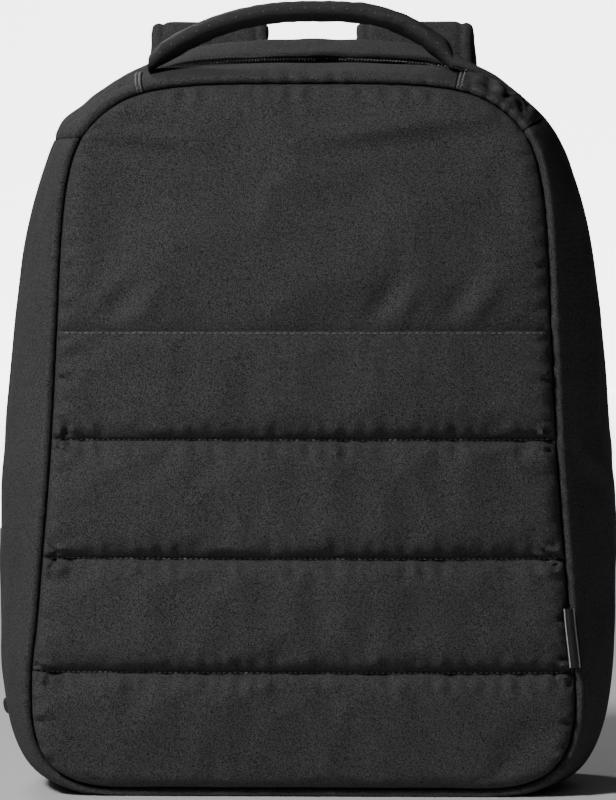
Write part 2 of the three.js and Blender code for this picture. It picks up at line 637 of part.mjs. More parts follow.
// Rows round the lines of a quilted panel, as shares of its height.
function rowsRoundLines(lines, run, low, high) {
  const near = [-0.55, -0.18, 0, 0.18, 0.55].map((share) => (share * run) / FRONT_TOP);
  const ends = [low, ...lines, high];
  const middles = ends.slice(1).map((line, i) => (line + ends[i]) / 2);
  const all = [...middles, ...lines.flatMap((line) => near.map((offset) => line + offset))];
  return all.filter((up) => up > low && up < high).sort((a, b) => a - b);
}

// The quilted pocket: lined flat behind, puffed in front, with a hem along its top.
function frontPocketPanel() {
  const groove = (up) => QUILT * grooveShare(up, POCKET_LINES, PUFF_RUN);
  const face = (across, up, edge) => frontRise(across, up, edge) + (HEM_PROUD - groove(up)) * edge;
  const lined = rowsRoundLines(POCKET_LINES, PUFF_RUN, LOW_SHARES.at(-1), hemShares[0]);
  const rows = [...LOW_SHARES, ...lined, ...hemShares].map((up) => {
    const wall = (edge) => CLOTH + (padding(up) + HEM_PROUD - groove(up)) * edge;
    return { up, face, wall, out: sewnEdge };
  });
  return panelGeometry([turnedRow(rows[0]), ...rows], forwardSide);
}

// The front wall of the bag: it shows above the pocket and runs on down behind it.
function frontPanel() {
  const wall = () => CLOTH;
  const hidden = (across, up, edge) => frontRise(across, up, edge) - CLOTH - SEAT - padding(up) * edge;
  const shown = (across, up, edge) => {
    const above = clamp(((up - POCKET_TOP) * FRONT_TOP) / HEM_SINK, 0, 1);
    const sink = (CLOTH + SEAT + HEM_PAD) * (1 - above) ** 2;
    return frontRise(across, up, edge) + (wrinkleRise(across, up) * above - sink) * edge;
  };
  const step = HEM_CLEAR / FRONT_TOP;
  const low = [...LOW_SHARES, ...HIDDEN_SHARES, ...hemShares.slice(0, 2), POCKET_TOP + step];
  const high = [POCKET_TOP + 2 * step, ...UPPER_SHARES, ...HIGH_SHARES];
  const rows = [
    ...low.map((up) => ({ up, face: hidden, wall, out: behindEdge })),
    ...high.map((up) => ({ up, face: shown, wall, out: sewnEdge })),
  ];
  return panelGeometry([turnedRow(rows[0]), ...rows, turnedRow(rows.at(-1))], forwardSide);
}

// The padded back, level behind its rounded edges, with two quilting lines.
const backEdge = (station) => backSeamOut(station) - 2 * GAP;

function backPanel() {
  const groove = (up) => BACK_QUILT * grooveShare(up, BACK_LINES, BACK_QUILT_RUN);
  const face = (across, up, edge) => (BACK_PAD - groove(up)) * edge;
  const lined = rowsRoundLines(BACK_LINES, BACK_QUILT_RUN, LOW_SHARES.at(-1), HIGH_SHARES[0]);
  const rows = [...LOW_SHARES, ...lined, ...HIGH_SHARES].map((up) => {
    const wall = (edge) => lerp(CLOTH, Math.max(CLOTH, BACK_WALL - groove(up)), edge);
    return { up, face, wall, out: backEdge };
  });
  return panelGeometry([turnedRow(rows[0]), ...rows, turnedRow(rows.at(-1))], backSide);
}

// A section with rounded corners. corner is 1 for an ellipse and nearer 0 for a squarer edge.
const FACE_CURVE = 0.65; // the same for the face of a padded band
function roundSection(width, thick, corner) {
  return Array.from({ length: STEPS.round }, (_, j) => {
    const angle = (2 * Math.PI * (j + 0.5)) / STEPS.round;
    const round = (value, power) => Math.sign(value) * Math.abs(value) ** power;
    const across = (round(Math.cos(angle), corner) * width) / 2;
    return { across, up: (round(Math.sin(angle), FACE_CURVE) * thick) / 2 };
  });
}

// Carry handle: a padded arch whose ends stand on the top gusset beside its cross seams.

// Height of the front gusset's top at a place: x across, and a share of the way from the seam to the zip.
function topHeight(x, share) {
  const place = (station) => outlinePoint(station, flankOut(station, share));
  return place(-solve(-TOP, -SHOULDER, x, (s) => place(-s).x)).z;
}

function carryHandle() {
  const seam = seamDepth(FRONT_TOP);
  const run = zipDepth(seam) - seam;
  const middle = seam + HANDLE.depthShare * run;
  const halfShare = HANDLE.width / 2 / run;
  const crest = FRONT_TOP + HANDLE.rise - HANDLE.thick / 2;
  const rows = Array.from({ length: STEPS.handle + 1 }, (_, k) => {
    const t = -Math.cos((Math.PI * k) / STEPS.handle);
    const end = t < 0 ? HANDLE.left : HANDLE.right;
    const [front, rear] = [-1, 1].map((s) => topHeight(end, HANDLE.depthShare + s * halfShare));
    const foot = topHeight(end, HANDLE.depthShare) + SEAT + HANDLE.endThick / 2;
    const inward = Math.min(1, (1 - Math.abs(t)) / HANDLE_TAPER);
    return {
      x: t * end + HANDLE.crest * (1 - t * t),
      z: lerp(crest, foot, Math.abs(t) ** ARCH_CURVE),
      thick: lerp(HANDLE.endThick, HANDLE.thick, inward),
      tilt: Math.atan2(rear - front, HANDLE.width) * (1 - inward),
      inward,
    };
  });
  const sections = rows.map(({ x, z, thick, tilt, inward }, i) => {
    const [before, after] = [rows[Math.max(i - 1, 0)], rows[Math.min(i + 1, rows.length - 1)]];
    const slope = Math.atan2(after.z - before.z, after.x - before.x) * inward;
    return roundSection(HANDLE.width, thick, 0.6).map(({ across, up }) => {
      const lift = up * Math.cos(tilt) + across * Math.sin(tilt);
      const depth = middle + across * Math.cos(tilt) - up * Math.sin(tilt);
      return vec(x - lift * Math.sin(slope), depth, z + lift * Math.cos(slope));
    });
  });
  return loftGeometry(sections);
}

// Shoulder straps.

const bagTop = outlinePoint(TOP, rearOut(TOP)).z;
const backFace = DEPTH / 2 + BACK_PAD;

// Rows along the middle of the right strap. The left one and what hangs on it are its mirror image.
const strapRows = Array.from({ length: (STRAP_ROWS.length - 1) * STEPS.strap + 1 }, (_, k) => {
  const last = STRAP_ROWS.length - 1;
  const place = k / STEPS.strap;
  const i = Math.min(Math.floor(place), last - 1);
  const row = (j) => STRAP_ROWS[clamp(j, 0, last)];
  const value = (key) => curve(row(i - 1)[key], row(i)[key], row(i + 1)[key], row(i + 2)[key], place - i);
  const thick = value("thick") * STRAP.thick;
  const out = Math.max(value("out") * STRAP.standOff, SEAT + thick / 2);
  const at = vec(value("apart") * STRAP.apart, backFace + out, bagTop + value("up") * STRAP.reach);
  return { at, thick, width: value("width") * STRAP.width, side: vec(1, 0, 0) };
});

function shoulderStrap() {
  const frames = pathFrames(strapRows);
  const sections = strapRows.map(({ at, thick, width }, i) =>
    roundSection(width, thick, 0.35).map(({ across, up }) =>
      at.clone().addScaledVector(frames[i].across, across).addScaledVector(frames[i].face, up),
    ),
  );
  return loftGeometry(sections);
}

// Directions at the strap's lower end: u down along the strap, w across it and v away from the back.
const strapEnd = (() => {
  const { along, face, across } = pathFrames(strapRows).at(-1);
  const v = face.y > 0 ? face : face.clone().negate();
  return { origin: strapRows.at(-1).at, u: along, w: across, v };
})();
const belowStrap = (u, v) => strapEnd.origin.clone().addScaledVector(strapEnd.u, u).addScaledVector(strapEnd.v, v);

// The adjuster's bars lie across the webbing, at these places along it.
const topBar = ADJUSTER.lead + ADJUSTER.bar / 2;
const lowBar = ADJUSTER.lead + ADJUSTER.height - ADJUSTER.bar / 2;
const loopRadius = Math.hypot(ADJUSTER.bar, ADJUSTER.thick) / 2 + SEAT + WEBBING.thick / 2;

// Half a turn of webbing round a bar, through the slot below it for turn 1 and above it for -1.
function barTurn(bar, turn) {
  return Array.from({ length: STEPS.loop + 1 }, (_, k) => {
    const angle = Math.PI * (k / STEPS.loop - 0.5);
    return belowStrap(bar + turn * loopRadius * Math.cos(angle), loopRadius * Math.sin(angle));
  });
}
const webbingRow = (at, side) => ({ at, side, width: WEBBING.width, thick: WEBBING.thick });

// A short loop of webbing from the strap's end round the adjuster's top bar.
function strapWebbing() {
  const spread = loopRadius / 2;
  const path = [belowStrap(SEAT, -spread), ...barTurn(topBar, 1), belowStrap(SEAT, spread)];
  return bandGeometry(path.map((at) => webbingRow(at, strapEnd.w)));
}

// A frame with three bars and two slots.
function strapAdjuster() {
  const half = WEBBING.width / 2 + ADJUSTER.margin + ADJUSTER.side;
  const slot = (ADJUSTER.height - 3 * ADJUSTER.bar) / 2;
  const corners = (x, low, high) =>
    [[-x, low], [x, low], [x, high], [-x, high]].map(([a, b]) => new THREE.Vector2(a, b));
  const shape = new THREE.Shape(corners(half, 0, ADJUSTER.height));
  for (const low of [ADJUSTER.bar, 2 * ADJUSTER.bar + slot]) {
    shape.holes.push(new THREE.Path(corners(half - ADJUSTER.side, low, low + slot)));
  }
  const square = strapEnd.w.clone().cross(strapEnd.u);
  return new THREE.ExtrudeGeometry(shape, { depth: ADJUSTER.thick, bevelEnabled: false })
    .translate(0, ADJUSTER.lead, -ADJUSTER.thick / 2)
    .applyMatrix4(new THREE.Matrix4().makeBasis(strapEnd.w, strapEnd.u, square).setPosition(strapEnd.origin));
}

// The tab sewn beside the back seam near the base: a cloth band from there towards the adjuster.
const tabRows = (() => {
  const edge = outlinePoint(stationAtHeight(TAB.height), backEdge(stationAtHeight(TAB.height)));
  const root = vec(edge.x - TAB.inset, backFace + SEAT + TAB.thick / 2, edge.z);
  const aim = belowStrap(lowBar, 0);
  const tip = root.clone().lerp(aim, TAB.length / root.distanceTo(aim));
  return [0, 0.25, 0.5, 0.75, 1].map((share) => {
    const across = vec(0, 0, 1).lerp(strapEnd.w, share).normalize();
    const width = lerp(TAB.base, WEBBING.width + 2 * TAB.margin, share);
    return { at: root.clone().lerp(tip, share), side: across, width, thick: TAB.thick };
  });
})();

// Webbing sewn along the tab, up to the adjuster, round its low bar and hanging down again.
function lowerWebbing() {
  const frames = pathFrames(tabRows);
  const lift = (TAB.thick + WEBBING.thick) / 2 + SEAT;
  const lap = [2, 3, 4].map((i) => {
    const away = Math.sign(frames[i].face.y);
    return webbingRow(tabRows[i].at.clone().addScaledVector(frames[i].face, away * lift), tabRows[i].side);
  });
  const near = belowStrap(lowBar + ADJUSTER.pass, -loopRadius);
  const fall = [0.3, 0.65, 1].map((share) =>
    belowStrap(lowBar + share * ADJUSTER.tail, loopRadius + ADJUSTER.fall * share),
  );
  const path = [near, ...barTurn(lowBar, -1), ...fall];
  return bandGeometry([...lap, ...path.map((at) => webbingRow(at, strapEnd.w))]);
}

// Loop label: a ribbon folded into a loop, standing forward out of the side seam.
function sideLabel() {
  const count = 12;
  const lean = seamFrame(stationAtHeight(LABEL.bottom + LABEL.height / 2));
  const ring = (inset) =>
    Array.from({ length: count }, (_, k) => {
      const angle = (2 * Math.PI * (k + 0.5)) / count;
      const share = (1 - Math.cos(angle)) / 2;
      const root = lerp(LABEL.root, LABEL.slit, inset / LABEL.cloth) / 2;
      const half = lerp(root, LABEL.half - inset, Math.abs(Math.sin(angle)) * share ** 0.8);
      return { forward: LABEL.forward + lerp(inset, LABEL.reach - inset, share), across: Math.sign(Math.sin(angle)) * half };
    });
  const grid = (inset) =>
    ring(inset).map(({ forward, across }) =>
      [0, 0.5, 1].map((share) => {
        const z = LABEL.bottom + share * LABEL.height;
        return vec(seamPoint(stationAtHeight(z)).x + lean.nx * across, seamDepth(z) - forward, z);
      }),
    );
  return wallGeometry(grid(0), grid(LABEL.cloth), true);
}

// Assembly.

function piece(name, geometry, finish) {
  const mesh = new THREE.Mesh(geometry, new THREE.MeshStandardMaterial(finish));
  mesh.name = name;
  return mesh;
}

const bag = new THREE.Group();
bag.add(
  piece("front_panel", frontPanel(), cloth),
  piece("front_pocket_panel", frontPocketPanel(), cloth),
  piece("lower_gusset", lowerGusset(), cloth),
  piece("shoulder_gusset_right", shoulderGusset(SHOULDER, rightCross, GATHERS.right, 1), cloth),
  piece("shoulder_gusset_left", shoulderGusset(leftCross, 2 * TOP - SHOULDER, GATHERS.left, -1), cloth),
  piece("top_gusset", topGusset(), cloth),
  piece("rear_gusset", rearGusset(), cloth),
  piece("zip_tape", zipTape(), coilPlastic),
  piece("zip_slider", zipSlider(), plastic),
  piece("back_panel", backPanel(), backCloth),
  piece("carry_handle", carryHandle(), cloth),
  piece("side_label", sideLabel(), ribbonCloth),
);
const rightPieces = [
  ["shoulder_strap", shoulderStrap(), cloth],
  ["strap_webbing", strapWebbing(), webbingCloth],
  ["strap_adjuster", strapAdjuster(), plastic],
  ["lower_webbing", lowerWebbing(), webbingCloth],
  ["anchor_tab", bandGeometry(tabRows), webbingCloth],
];
for (const [name, geometry, finish] of rightPieces) {
  bag.add(piece(`${name}_right`, geometry, finish), piece(`${name}_left`, mirrorImage(geometry), finish));
}

// The origin is the middle of the base of the whole bag's box.
const box = new THREE.Box3().setFromObject(bag, true);
bag.position.set(-(box.min.x + box.max.x) / 2, -(box.min.y + box.max.y) / 2, -box.min.z);

export default bag;
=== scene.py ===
"""A laptop backpack of dark woven cloth, standing on its base.

The outline and the named sizes are those of the solid model, in millimetres. Each visible piece is made again
here with its cloth, padding, folds and sewing, and stands for the solid of the same name.
"""
import math

import bpy
import numpy as np
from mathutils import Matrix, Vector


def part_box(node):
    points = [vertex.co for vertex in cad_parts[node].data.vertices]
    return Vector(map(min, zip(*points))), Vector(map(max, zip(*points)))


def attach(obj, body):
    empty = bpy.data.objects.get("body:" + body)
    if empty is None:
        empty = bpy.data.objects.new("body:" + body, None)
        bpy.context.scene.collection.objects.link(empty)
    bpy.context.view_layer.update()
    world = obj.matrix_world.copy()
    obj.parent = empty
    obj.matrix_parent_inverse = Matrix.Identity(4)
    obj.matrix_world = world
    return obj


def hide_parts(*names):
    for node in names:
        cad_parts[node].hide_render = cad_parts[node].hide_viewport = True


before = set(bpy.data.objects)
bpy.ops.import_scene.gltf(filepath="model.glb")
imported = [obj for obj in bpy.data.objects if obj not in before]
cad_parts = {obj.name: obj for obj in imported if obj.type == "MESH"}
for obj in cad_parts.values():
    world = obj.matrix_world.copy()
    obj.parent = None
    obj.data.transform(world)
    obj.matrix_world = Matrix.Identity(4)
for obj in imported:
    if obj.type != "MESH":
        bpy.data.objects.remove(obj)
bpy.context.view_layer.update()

# Sizes of the bag, in millimetres.
FRONT_TOP, FRONT_BASE, FRONT_HALF, DEPTH, LEAN, FLARE = 380.0, 3.8, 145.0, 126.0, 24.0, 25.0
CLOTH, GAP, SEAT, ROLL, TURN_IN, BACK_ROLL = 2.0, 0.2, 0.35, 5.5, 5.0, 4.0
EDGE_RISE, EDGE_RUN, CROWN = 6.0, 9.0, 12.0
QUILT, PUFF_RUN, HEM_PAD, HEM_PROUD, HEM_SINK = 5.0, 22.0, 1.0, 0.5, 30.0
ZIP_SHARE, ZIP_GAP, ZIP_DROP = 0.58, 6.5, 0.8
COIL_WIDTH, COIL_RISE, ZIP_END, SLIDER = 4.4, 1.6, 3.7, 5.08
BACK_PAD, BACK_QUILT, BACK_RUN = 8.0, 4.0, 14.0
HANDLE = {"left": 85.0, "right": 79.5, "crest": 7.0, "rise": 46.0, "width": 27.0, "thick": 11.5, "end": 9.0,
          "share": 0.47}
STRAP = {"apart": 57.0, "width": 66.0, "thick": 11.0, "reach": 231.0, "off": 34.0}
WEB_WIDTH, WEB_THICK = 25.0, 1.3
ADJUSTER = {"height": 25.0, "bar": 3.8, "thick": 4.0, "side": 3.4, "margin": 0.7, "lead": 13.0, "tail": 62.0,
            "fall": 5.0}
TAB = {"inset": 16.0, "height": 62.0, "base": 48.0, "thick": 2.0, "length": 46.0, "margin": 1.0}
LABEL = {"height": 31.0, "reach": 13.0, "half": 4.0, "root": 1.1, "cloth": 0.9, "forward": 2.0,
         "bottom": 69.5}
GUSSET_WALL, PANEL_WALL, EDGE_FOLD = 1.5, 1.7, 1.1
LEAN_CURVE, FLANK_CURVE, ARCH_CURVE, REAR_SHARE = 1.6, 2.2, 2.6, 0.35

# Half outline from the middle of the base up the right side to the middle of the top: share of FRONT_HALF, share
# of the front seam's height, share of FLARE at the zip and at the back, and 1 where the zip's gap is open.
OUTLINE = np.array([
    [0, 0, 0, 0, 0], [0.48, 0, 0, 0, 0], [0.73, 0.001, 0.02, 0.02, 0], [0.86, 0.013, 0.2, 0.24, 0],
    [0.947, 0.04, 0.4, 0.42, 1], [0.993, 0.087, 0.51, 0.52, 1], [1, 0.161, 0.66, 0.67, 1],
    [0.98, 0.238, 0.82, 0.82, 1], [0.961, 0.331, 0.94, 0.92, 1], [0.935, 0.464, 1.01, 0.97, 1],
    [0.914, 0.636, 0.94, 0.91, 1], [0.898, 0.782, 0.75, 0.73, 1], [0.875, 0.862, 0.55, 0.56, 1],
    [0.832, 0.916, 0.44, 0.46, 1], [0.742, 0.958, 0.34, 0.42, 1], [0.604, 0.986, 0.34, 0.58, 1],
    [0.38, 0.998, 0.3, 0.84, 1], [0, 1, 0.32, 0.93, 1],
])
ACROSS, UP, FLARED, REARED, OPEN = range(5)
TOP, BASE_CORNER, SHOULDER = len(OUTLINE) - 1, 4.0, 13.35
POCKET_LINES, POCKET_TOP, BACK_LINES = (0.165, 0.326, 0.494), 0.648, (0.34, 0.66)
LEVEL_RUN = 0.12

# A strap from its seam on the back to its lower end: height over the bag's top, place off the back, place
# across, width and thickness, as shares of STRAP's sizes.
STRAP_ROWS = np.array([
    [-0.15, 0.083, 1, 0.98, 0.44], [-0.1, 0.1, 1, 1, 0.52], [-0.035, 0.19, 1, 1, 0.8],
    [0.027, 0.46, 1.01, 1, 0.9],
    [-0.026, 0.77, 1.03, 1.02, 1], [-0.165, 0.92, 1.06, 1.04, 1], [-0.52, 1, 1.14, 1, 1],
    [-0.845, 0.95, 1.32, 0.86, 1], [-1.06, 0.84, 1.56, 0.7, 0.95], [-1.147, 0.78, 1.68, 0.6, 0.6],
])

REAR_BOX = 1000 * np.array(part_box("rear_gusset"))
SHIFT = np.array([REAR_BOX[:, 0].mean(), REAR_BOX[1, 1] - DEPTH / 2, 0.0])


def lerp(a, b, t):
    return a + (b - a) * t


def path_length(points):
    return float(np.linalg.norm(np.diff(np.asarray(points), axis=0), axis=1).sum())


def unit(v):
    return v / np.maximum(np.linalg.norm(v, axis=-1, keepdims=True), 1e-9)


def curve(a, b, c, d, t):
    return 0.5 * (2 * b + (c - a) * t + (2 * a - 5 * b + 4 * c - d) * t * t + (3 * b - a - 3 * c + d) * t**3)


def ripple(seed, size, *axes, waves=8):
    """Soft irregular waves of about unit height, size long, over the given coordinates."""
    rng = np.random.default_rng(seed)
    total = 0.0
    for _ in range(waves):
        way = unit(rng.normal(size=len(axes)))
        length = size * rng.uniform(0.65, 1.6)
        phase = rng.uniform(0, 2 * np.pi)
        total = total + np.sin(sum(a * w for a, w in zip(axes, way)) * 2 * np.pi / length + phase)
    return total / math.sqrt(waves / 2)


def bell(x):
    return np.exp(-(x**2))


# Outline of the bag.


def wrapped(s):
    s = np.asarray(s, float)
    return np.where(s > TOP, s - 2 * TOP, np.where(s < -TOP, s + 2 * TOP, s))


def column(key, s, mirror=1.0):
    place = np.abs(wrapped(s))
    i = np.minimum(np.floor(place).astype(int), TOP - 1)

    def at(j):
        k = np.abs(j)
        k = np.where(k > TOP, 2 * TOP - k, k)
        return np.where((j < 0) | (j > TOP), mirror, 1.0) * OUTLINE[k, key]

    return curve(at(i - 1), at(i), at(i + 1), at(i + 2), place - i)


def seam(s):
    x = np.sign(wrapped(s)) * FRONT_HALF * column(ACROSS, s, -1.0)
    return x, lerp(FRONT_BASE, FRONT_TOP, column(UP, s))


def outline_point(s, out):
    x, z = seam(s)
    (x0, z0), (x1, z1) = seam(s - 0.05), seam(s + 0.05)
    length = np.hypot(x1 - x0, z1 - z0)
    return x + (z1 - z0) / length * out, z - (x1 - x0) / length * out


def seam_depth(z):
    return -DEPTH / 2 + LEAN * (np.maximum(z, 0) / FRONT_TOP) ** LEAN_CURVE


DENSE = np.linspace(0, TOP, 6001)
DENSE_X, DENSE_Z = seam(DENSE)
SIDE = (DENSE >= BASE_CORNER) & (DENSE <= SHOULDER)
BASE, OVER = DENSE <= BASE_CORNER, DENSE >= SHOULDER
LOW_X, LOW_Z = (float(v) for v in seam(BASE_CORNER))
HIGH_X, HIGH_Z = (float(v) for v in seam(SHOULDER))


def station_at_height(z):
    return np.interp(z, DENSE_Z[SIDE], DENSE[SIDE])


def base_station(share):
    return np.interp(share * LOW_X, DENSE_X[BASE], DENSE[BASE])


def top_station(share):
    return np.interp(-share * HIGH_X, -DENSE_X[OVER], DENSE[OVER])


def front_out(s):
    return ROLL + FLARE * column(FLARED, s)


def rear_out(s):
    return ROLL + FLARE * column(REARED, s)


def rear_start(s):
    return lerp(front_out(s), rear_out(s), REAR_SHARE)


def zip_depth(depth):
    return lerp(depth, DEPTH / 2, ZIP_SHARE)


def half_gap(s):
    return lerp(GAP, ZIP_GAP / 2, np.clip(column(OPEN, s), 0, 1))


def flank_out(s, share):
    return lerp(ROLL, front_out(s), 1 - (1 - share) ** FLANK_CURVE)


def stations(first, last, step):
    """Stations from first to last, step millimetres apart along the seam."""
    dense = np.linspace(first, last, 4000)
    x, z = seam(dense)
    run = np.concatenate([[0], np.cumsum(np.hypot(np.diff(x), np.diff(z)))])
    count = max(3, int(run[-1] / step) + 1)
    return np.interp(np.linspace(0, run[-1], count), run, dense), np.linspace(0, run[-1], count)


# Meshes.


def surface_normals(grid, wraps=False):
    if wraps:
        du = np.roll(grid, -1, 0) - np.roll(grid, 1, 0)
    else:
        du = np.gradient(grid, axis=0)
    dv = np.gradient(grid, axis=1)
    n = unit(np.cross(du, dv))
    middle = grid.reshape(-1, 3).mean(0) * [1, 1, 0] + [0, 0, 190]
    return n if (n * (grid - middle)).sum() > 0 else -n


def new_object(name, points, faces, material, smooth=50):
    mesh = bpy.data.meshes.new(name)
    mesh.from_pydata(((np.asarray(points) + SHIFT) / 1000).tolist(), [], faces)
    mesh.validate()
    mesh.shade_smooth()
    mesh.set_sharp_from_angle(angle=math.radians(smooth))
    mesh.materials.append(material)
    obj = bpy.data.objects.new(name, mesh)
    bpy.context.scene.collection.objects.link(obj)
    return obj


def quads(rows, columns, start, wraps=False):
    i, j = np.meshgrid(np.arange(rows if wraps else rows - 1), np.arange(columns - 1), indexing="ij")
    a = start + i * columns + j
    b = start + ((i + 1) % rows) * columns + j
    return np.stack([a, b, b + 1, a + 1], -1).reshape(-1, 4)


def turned_out(points, faces):
    """The four-sided faces, all turned over if they would face inward."""
    a, b, c, d = (points[faces[:, k]] for k in range(4))
    volume = (a * np.cross(b, c)).sum() + (a * np.cross(c, d)).sum()
    return (faces if volume > 0 else faces[:, ::-1]).tolist(), volume


def shell(name, outer, inner, material, wraps=False):
    """A closed wall between two grids of points, outer facing out."""
    rows, columns = outer.shape[:2]
    n = rows * columns
    faces = [quads(rows, columns, 0, wraps), quads(rows, columns, n, wraps)[:, ::-1]]
    i = np.arange(rows if wraps else rows - 1)
    k = (i + 1) % rows
    for j, turn in ((0, -1), (columns - 1, 1)):
        a, b = i * columns + j, k * columns + j
        side = np.stack([a, b, b + n, a + n], -1)
        faces.append(side[:, ::-1] if turn > 0 else side)
    if not wraps:
        j = np.arange(columns - 1)
        for row, turn in ((0, 1), (rows - 1, -1)):
            a = row * columns + j
            side = np.stack([a, a + 1, a + 1 + n, a + n], -1)
            faces.append(side[:, ::-1] if turn > 0 else side)
    faces = np.concatenate(faces)
    points = np.concatenate([outer.reshape(-1, 3), inner.reshape(-1, 3)])
    return new_object(name, points, turned_out(points, faces)[0], material)


def cloth_shell(name, grid, wall, material, wraps=False):
    return shell(name, grid, grid - surface_normals(grid, wraps) * wall, material, wraps)


def loft(name, rings, material, smooth=60):
    """A solid through closed rings of points."""
    rows, count = rings.shape[:2]
    i, j = np.meshgrid(np.arange(rows - 1), np.arange(count), indexing="ij")
    a = i * count + j
    b = i * count + (j + 1) % count
    faces = np.stack([a, b, b + count, a + count], -1).reshape(-1, 4)
    points = rings.reshape(-1, 3)
    faces, volume = turned_out(points, faces)
    caps = [list(range(count))[::-1], [(rows - 1) * count + j for j in range(count)]]
    if volume < 0:
        caps = [cap[::-1] for cap in caps]
    return new_object(name, points, faces + caps, material, smooth)


def thread(name, runs, material, length=3.0, gap=0.7, radius=0.32, lift=0.1, slant=0.0):
    """Stitches along runs of (points, normals): each a small bead of thread pressed into the cloth, turned
    slant degrees one way and the other by turns."""
    sides, bands = 6, 5
    points, faces = [], []
    count = 0
    for path, normals in runs:
        step = np.linalg.norm(np.diff(path, axis=0), axis=1)
        run = np.concatenate([[0], np.cumsum(step)])
        starts = np.arange(gap, run[-1] - length, length + gap)
        for number, start in enumerate(starts):
            a, b = (np.array([np.interp(start + d, run, path[:, k]) for k in range(3)]) for d in (0, length))
            up = unit(np.array([np.interp(start + length / 2, run, normals[:, k]) for k in range(3)]))
            across = unit(np.cross(up, unit(b - a)))
            lean = across * length / 2 * math.tan(math.radians(slant)) * (-1) ** number
            a, b = a - lean, b + lean
            along = unit(b - a)
            across = unit(np.cross(up, along))
            up = np.cross(along, across)
            for i in range(bands):
                t = i / (bands - 1)
                wide = radius * math.sqrt(max(0.08, 1 - (2 * t - 1) ** 4))
                rise = lift + 0.25 * radius * math.sin(math.pi * t)
                middle = a + (b - a) * t + up * rise
                for j in range(sides):
                    angle = 2 * math.pi * j / sides
                    points.append(middle + across * wide * math.cos(angle) + up * wide * math.sin(angle))
            for i in range(bands - 1):
                for j in range(sides):
                    k = (j + 1) % sides
                    faces.append([count + i * sides + j, count + i * sides + k,
                                  count + (i + 1) * sides + k, count + (i + 1) * sides + j])
            faces.append([count + j for j in reversed(range(sides))])
            faces.append([count + (bands - 1) * sides + j for j in range(sides)])
            count += bands * sides
    return new_object(name, np.array(points), faces, material)


def settle(grid, held, slack, pressure, frames=18, stiff=4.0, most=9.0):
    """Lets a sheet settle as cloth over its padding. Held points stay, the rest
    swells a little and wrinkles."""
    rows, columns = grid.shape[:2]
    mesh = bpy.data.meshes.new("settling")
    mesh.from_pydata((grid.reshape(-1, 3) / 1000).tolist(), [], quads(rows, columns, 0).tolist())
    obj = bpy.data.objects.new("settling", mesh)
    bpy.context.scene.collection.objects.link(obj)
    group = obj.vertex_groups.new(name="held")
    weights = held.reshape(-1)
    group.add([int(i) for i in np.nonzero(weights)[0]], 1.0, "REPLACE")
    cloth = obj.modifiers.new("cloth", "CLOTH")
    settings = cloth.settings
    settings.quality = 6
    settings.mass = 0.25
    settings.tension_stiffness = settings.compression_stiffness = 30
    settings.shear_stiffness = 12
    settings.bending_stiffness = stiff
    settings.tension_damping = settings.compression_damping = 15
    settings.air_damping = 4
    settings.vertex_group_mass = "held"
    settings.pin_stiffness = 1.0
    settings.shrink_min = -slack
    settings.use_pressure = True
    settings.uniform_pressure_force = pressure
    settings.effector_weights.gravity = 0
    cloth.collision_settings.use_collision = False
    cloth.point_cache.frame_start, cloth.point_cache.frame_end = 1, frames
    scene = bpy.context.scene
    for number in range(1, frames + 1):
        scene.frame_set(number)
    shown = obj.evaluated_get(bpy.context.evaluated_depsgraph_get())
    points = np.zeros(rows * columns * 3, np.float32)
    shown.data.vertices.foreach_get("co", points)
    settled = points.reshape(rows, columns, 3).astype(float) * 1000
    bpy.data.objects.remove(obj)
    scene.frame_set(1)
    move = settled - grid
    size = np.linalg.norm(move, axis=-1, keepdims=True)
    return grid + move * np.minimum(1, most / np.maximum(size, 1e-9))


# Materials.


def node_tree(name):
    material = bpy.data.materials.new(name)
    material.use_nodes = True
    tree = material.node_tree
    shader = tree.nodes["Principled BSDF"]
    return material, tree, shader


def maths(tree, operation, a, b=None, c=None):
    node = tree.nodes.new("ShaderNodeMath")
    node.operation = operation
    for socket, value in zip(node.inputs, (a, b, c)):
        if value is None:
            continue
        if isinstance(value, (int, float)):
            socket.default_value = value
        else:
            tree.links.new(value, socket)
    return node.outputs[0]


def noise(tree, where, scale, detail=2.0, stretch=(1, 1, 1), rough=0.55):
    mapping = tree.nodes.new("ShaderNodeMapping")
    mapping.inputs["Scale"].default_value = stretch
    tree.links.new(where, mapping.inputs["Vector"])
    node = tree.nodes.new("ShaderNodeTexNoise")
    node.inputs["Scale"].default_value = scale
    node.inputs["Detail"].default_value = detail
    node.inputs["Roughness"].default_value = rough
    tree.links.new(mapping.outputs[0], node.inputs["Vector"])
    return node.outputs[0]


def bands(tree, where, way, pitch):
    """A sine wave along a direction, pitch millimetres long."""
    dot = tree.nodes.new("ShaderNodeVectorMath")
    dot.operation = "DOT_PRODUCT"
    tree.links.new(where, dot.inputs[0])
    dot.inputs[1].default_value = tuple(w * 2000 * math.pi / pitch for w in way)
    return maths(tree, "SINE", dot.outputs["Value"])


def ramp(tree, factor, stops):
    node = tree.nodes.new("ShaderNodeValToRGB")
    elements = node.color_ramp.elements
    while len(elements) < len(stops):
        elements.new(0.5)
    for element, (place, value) in zip(elements, stops):
        element.position = place
        element.color = (*value, 1) if isinstance(value, tuple) else (value, value, value, 1)
    tree.links.new(factor, node.inputs[0])
    return node.outputs[0]


def bump(tree, shader, height, distance, strength=1.0):
    node = tree.nodes.new("ShaderNodeBump")
    node.inputs["Distance"].default_value = distance
    node.inputs["Strength"].default_value = strength
    tree.links.new(height, node.inputs["Height"])
    tree.links.new(node.outputs[0], shader.inputs["Normal"])


def object_place(tree):
    return tree.nodes.new("ShaderNodeTexCoord").outputs["Object"]


